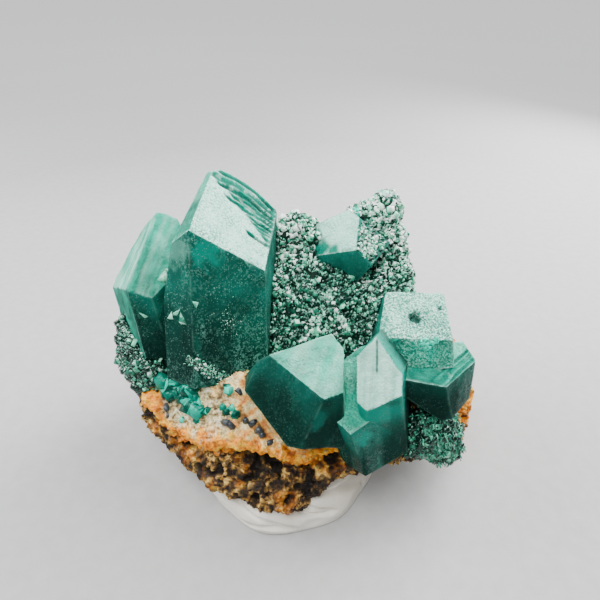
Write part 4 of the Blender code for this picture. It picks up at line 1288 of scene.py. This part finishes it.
def pyramids(name, corners, out, height, tones_and_shading, material):
    """Low pyramids: three corners on a large face, spread by 0.3 and sunk by 0.15 mm, and a top over their mean,
    height along the face's direction."""
    corners = corners + 0.30 * (corners - corners.mean(1, keepdims=True))
    top = corners.mean(1) + out * height[:, None]
    points = np.concatenate([corners - 0.15 * out[:, None], top[:, None]], 1)
    order = np.array([(0, 1, 3), (1, 2, 3), (2, 0, 3), (2, 1, 0)])
    turned = np.cross(corners[:, 1] - corners[:, 0], corners[:, 2] - corners[:, 0])
    wrong = (turned * out).sum(1) < 0
    faces = np.where(wrong[:, None, None], order[:, ::-1], order) + 4 * np.arange(len(corners))[:, None, None]
    tones_and_shading = np.column_stack([0.90 * tones_and_shading, np.full(len(corners), 0.2)])
    piece = make_piece(name, points.reshape(-1, 3), [], faces.reshape(-1, 3), [material], {"tone_and_shading": tones_and_shading.ravel()})
    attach(piece, "root")


corners, out, height, tones_and_shading = (np.array(column, float) for column in zip(*GROWN_IN))
pyramids("intergrown_crystals", corners, out, height, tones_and_shading, tiny_green)

# %% Fibres
# A fibre's way is one slanting direction with its part out of the surface taken away, so that it lies on it.
places, out = scatter("druse_right", 2600, 33)
keep = (places[:, 1] < 0.8) & (places[:, 0] > 10.6) & outside(places, 0.05)
places, out = places[keep], out[keep]
lying = np.array([0.30, -0.40, -0.85]) + 0.10 * picker.normal(size=out.shape)
lying -= (lying * out).sum(1)[:, None] * out
lying += 0.05 * out
lying /= np.linalg.norm(lying, axis=1)[:, None]
size = 0.035 + 0.040 * picker.random(len(places))
reach = 0.6 + 0.7 * picker.random(len(places))
tiny_crystals("fibres", places + 0.06 * out - 0.5 * reach[:, None] * lying, lying, size, reach,
              0.44 + 0.24 * picker.random(len(places)), tiny_green, 14, 0.25)

# %% [markdown]
# ## The putty foot
# White putty is pressed round the rock's tip and flattened on the table. It is soft and matt, with the folds and
# dents of fingers. Simulating soft clay would be slow and hard to steer, and a lump needs only a form with creases.
# As a surface it is a dome in polar form: the angle one way, and from the middle of the flat underside out to the
# rim and up to the top the other way.

# %% Putty: the shape
WIDE, FRONT, BEHIND, HIGH = 7.3, 6.3, 9.0, 3.8  # half width, reach to the front and the back, height, mm
RIM = 0.22  # the share of the way that the flat underside takes
level, turn = np.meshgrid(np.linspace(0, 1, 90), np.linspace(0, 2 * np.pi, 240, endpoint=False), indexing="ij")
wave = 1 + 0.03 * np.sin(3 * turn + 0.6) + 0.02 * np.sin(7 * turn + 1.9)
climb = np.clip((level - RIM) / (1 - RIM), 0, 1)
out = np.where(level < RIM, level / RIM, np.cos(climb * np.pi / 2) ** 0.8)
z = np.where(level < RIM, 0, HIGH * np.sin(climb * np.pi / 2) ** 0.8)
reach_y = np.where(np.sin(turn) < 0, FRONT, BEHIND)
putty = np.stack([np.cos(turn) * WIDE * wave * out, np.sin(turn) * reach_y * wave * out, z], -1)
slanted = np.stack([putty[..., 0] * 0.16 + putty[..., 2] * 0.62, putty[..., 1] * 0.2, putty[..., 0] * 0.10], -1)
crease = 1 - ease(0.0, 0.14, abs(cloudy(slanted, 2, 71)))
swell = 0.30 * cloudy(putty * 0.38, 2, 70) - 0.42 * crease + 0.05 * cloudy(putty * 1.6, 2, 72)
swell = swell * ease(0.0, 0.10, climb) * (1 - ease(0.6, 0.95, climb))
away = np.stack([np.cos(turn), np.sin(turn), 0.35 + 0 * turn], -1)
putty = putty + away * swell[..., None]
putty[..., 2] = np.maximum(putty[..., 2], 0)
print("putty stands", round(float(putty[..., 2].max()), 2), "mm high")

# %% Putty: the material and the piece
putty_white, tree, shader = new_material("white putty", {"Specular IOR Level": 0.4})
grain = use(tree, grain_group, Scale=1300.0, Bump=0.35, Height=0.00012)
smudge = use(tree, cloud_group, Scale=260.0, Stretch=1.0, Low=0.35, High=0.75)
finish(tree, shader, blend(tree, smudge["Mask"], (0.90, 0.87, 0.78), (0.78, 0.73, 0.62)),
       ramp(tree, grain["Value"], [(0.3, 0.42), (0.7, 0.66)]), grain["Normal"])
# Each face starts one corner later than the rock's, so that it folds along its other diagonal.
putty_quads = np.roll(grid_quads(*putty.shape[:2]), -1, axis=1)
foot = make_piece("putty", putty.reshape(-1, 3), putty_quads, [], [putty_white], sharp=75)
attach(foot, "root")
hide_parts("putty_foot")

# %% [markdown]
# ## Floor, light and camera
# The floor is a plain pale sheet. Large soft lamps stand above and behind, because frosted end faces only turn
# bright when a wide light lies in the direction that they reflect towards the camera. The lamps are small beside
# the sheet, so its far parts would go dark. From 84 mm away from the specimen it therefore gives off a faint light
# of its own, which grows with the distance and evens out the backdrop.

# %% Floor
bpy.ops.mesh.primitive_plane_add(size=4, location=(0, 0, 0))
floor = bpy.context.object
floor.name = "floor"
paper, tree, shader = new_material("pale paper", {
    "Roughness": 0.9, "Specular IOR Level": 0.2, "Emission Strength": 1.0,
})
grain = use(tree, grain_group, Scale=900.0, Bump=0.05, Height=0.00005)
place = add(tree, "ShaderNodeTexCoord").outputs["Object"]
away = add(tree, "ShaderNodeVectorMath", {0: place}, operation="LENGTH").outputs["Value"]
PER_METRE = 2.5  # the ramp's whole width is 0.4 m
own_light = ramp(tree, times(tree, away, PER_METRE), [
    (0.21, 0.0), (0.28, 0.33), (0.34, 0.56), (0.41, 0.74), (0.50, 0.84), (0.65, 0.86),
])
put(tree, shader.inputs["Base Color"], ramp(tree, grain["Value"], [(0.3, 0.40), (0.7, 0.44)]))
put(tree, shader.inputs["Emission Color"], own_light)
floor.data.materials.append(paper)
print("floor:", [round(side, 2) for side in floor.dimensions], "m")

# %% Lights
AIM = np.array([0, 3, 11])  # the middle of the specimen, mm


def soft_light(name, direction, distance, size, watts):
    """A square lamp that faces the specimen from a direction, at a distance in mm."""
    lamp = bpy.data.lights.new(name, "AREA")
    lamp.size = size * MM
    lamp.energy = watts
    holder = bpy.data.objects.new(name, lamp)
    way = np.array(direction, float)
    way /= np.linalg.norm(way)
    holder.location = (way * distance + AIM) * MM
    holder.rotation_euler = (math.acos(way[2]), 0, math.atan2(way[1], way[0]) + math.pi / 2)
    bpy.context.scene.collection.objects.link(holder)


soft_light("over_right", (0.50, 0.42, 0.80), 110, 90, 0.28)
soft_light("top", (-0.10, -0.35, 1.0), 110, 60, 0.11)
soft_light("low_right_back", (0.70, 0.62, 0.38), 110, 65, 0.16)
soft_light("left_back", (-0.80, 0.25, 0.62), 110, 75, 0.20)
soft_light("front_fill", (-0.30, -0.80, 0.75), 200, 120, 0.12)
world = bpy.data.worlds.new("studio")
world.use_nodes = True
sky = world.node_tree.nodes["Background"].inputs
sky["Color"].default_value = (0.9, 0.95, 1.0, 1)
sky["Strength"].default_value = 0.11
bpy.context.scene.world = world
print("lamps:", len(bpy.data.lights))

# %% Camera
lens = bpy.data.cameras.new("camera")
lens.lens = 30
lens.sensor_width = 36
lens.clip_start = 0.001
camera = bpy.data.objects.new("camera", lens)
camera.location = (1.0 * MM, -27.0 * MM, 39.2 * MM)
camera.rotation_euler = (math.radians(52.8), 0, 0)
bpy.context.scene.collection.objects.link(camera)
bpy.context.scene.camera = camera
print("camera stands", round(camera.location.length / MM, 1), "mm from the origin")
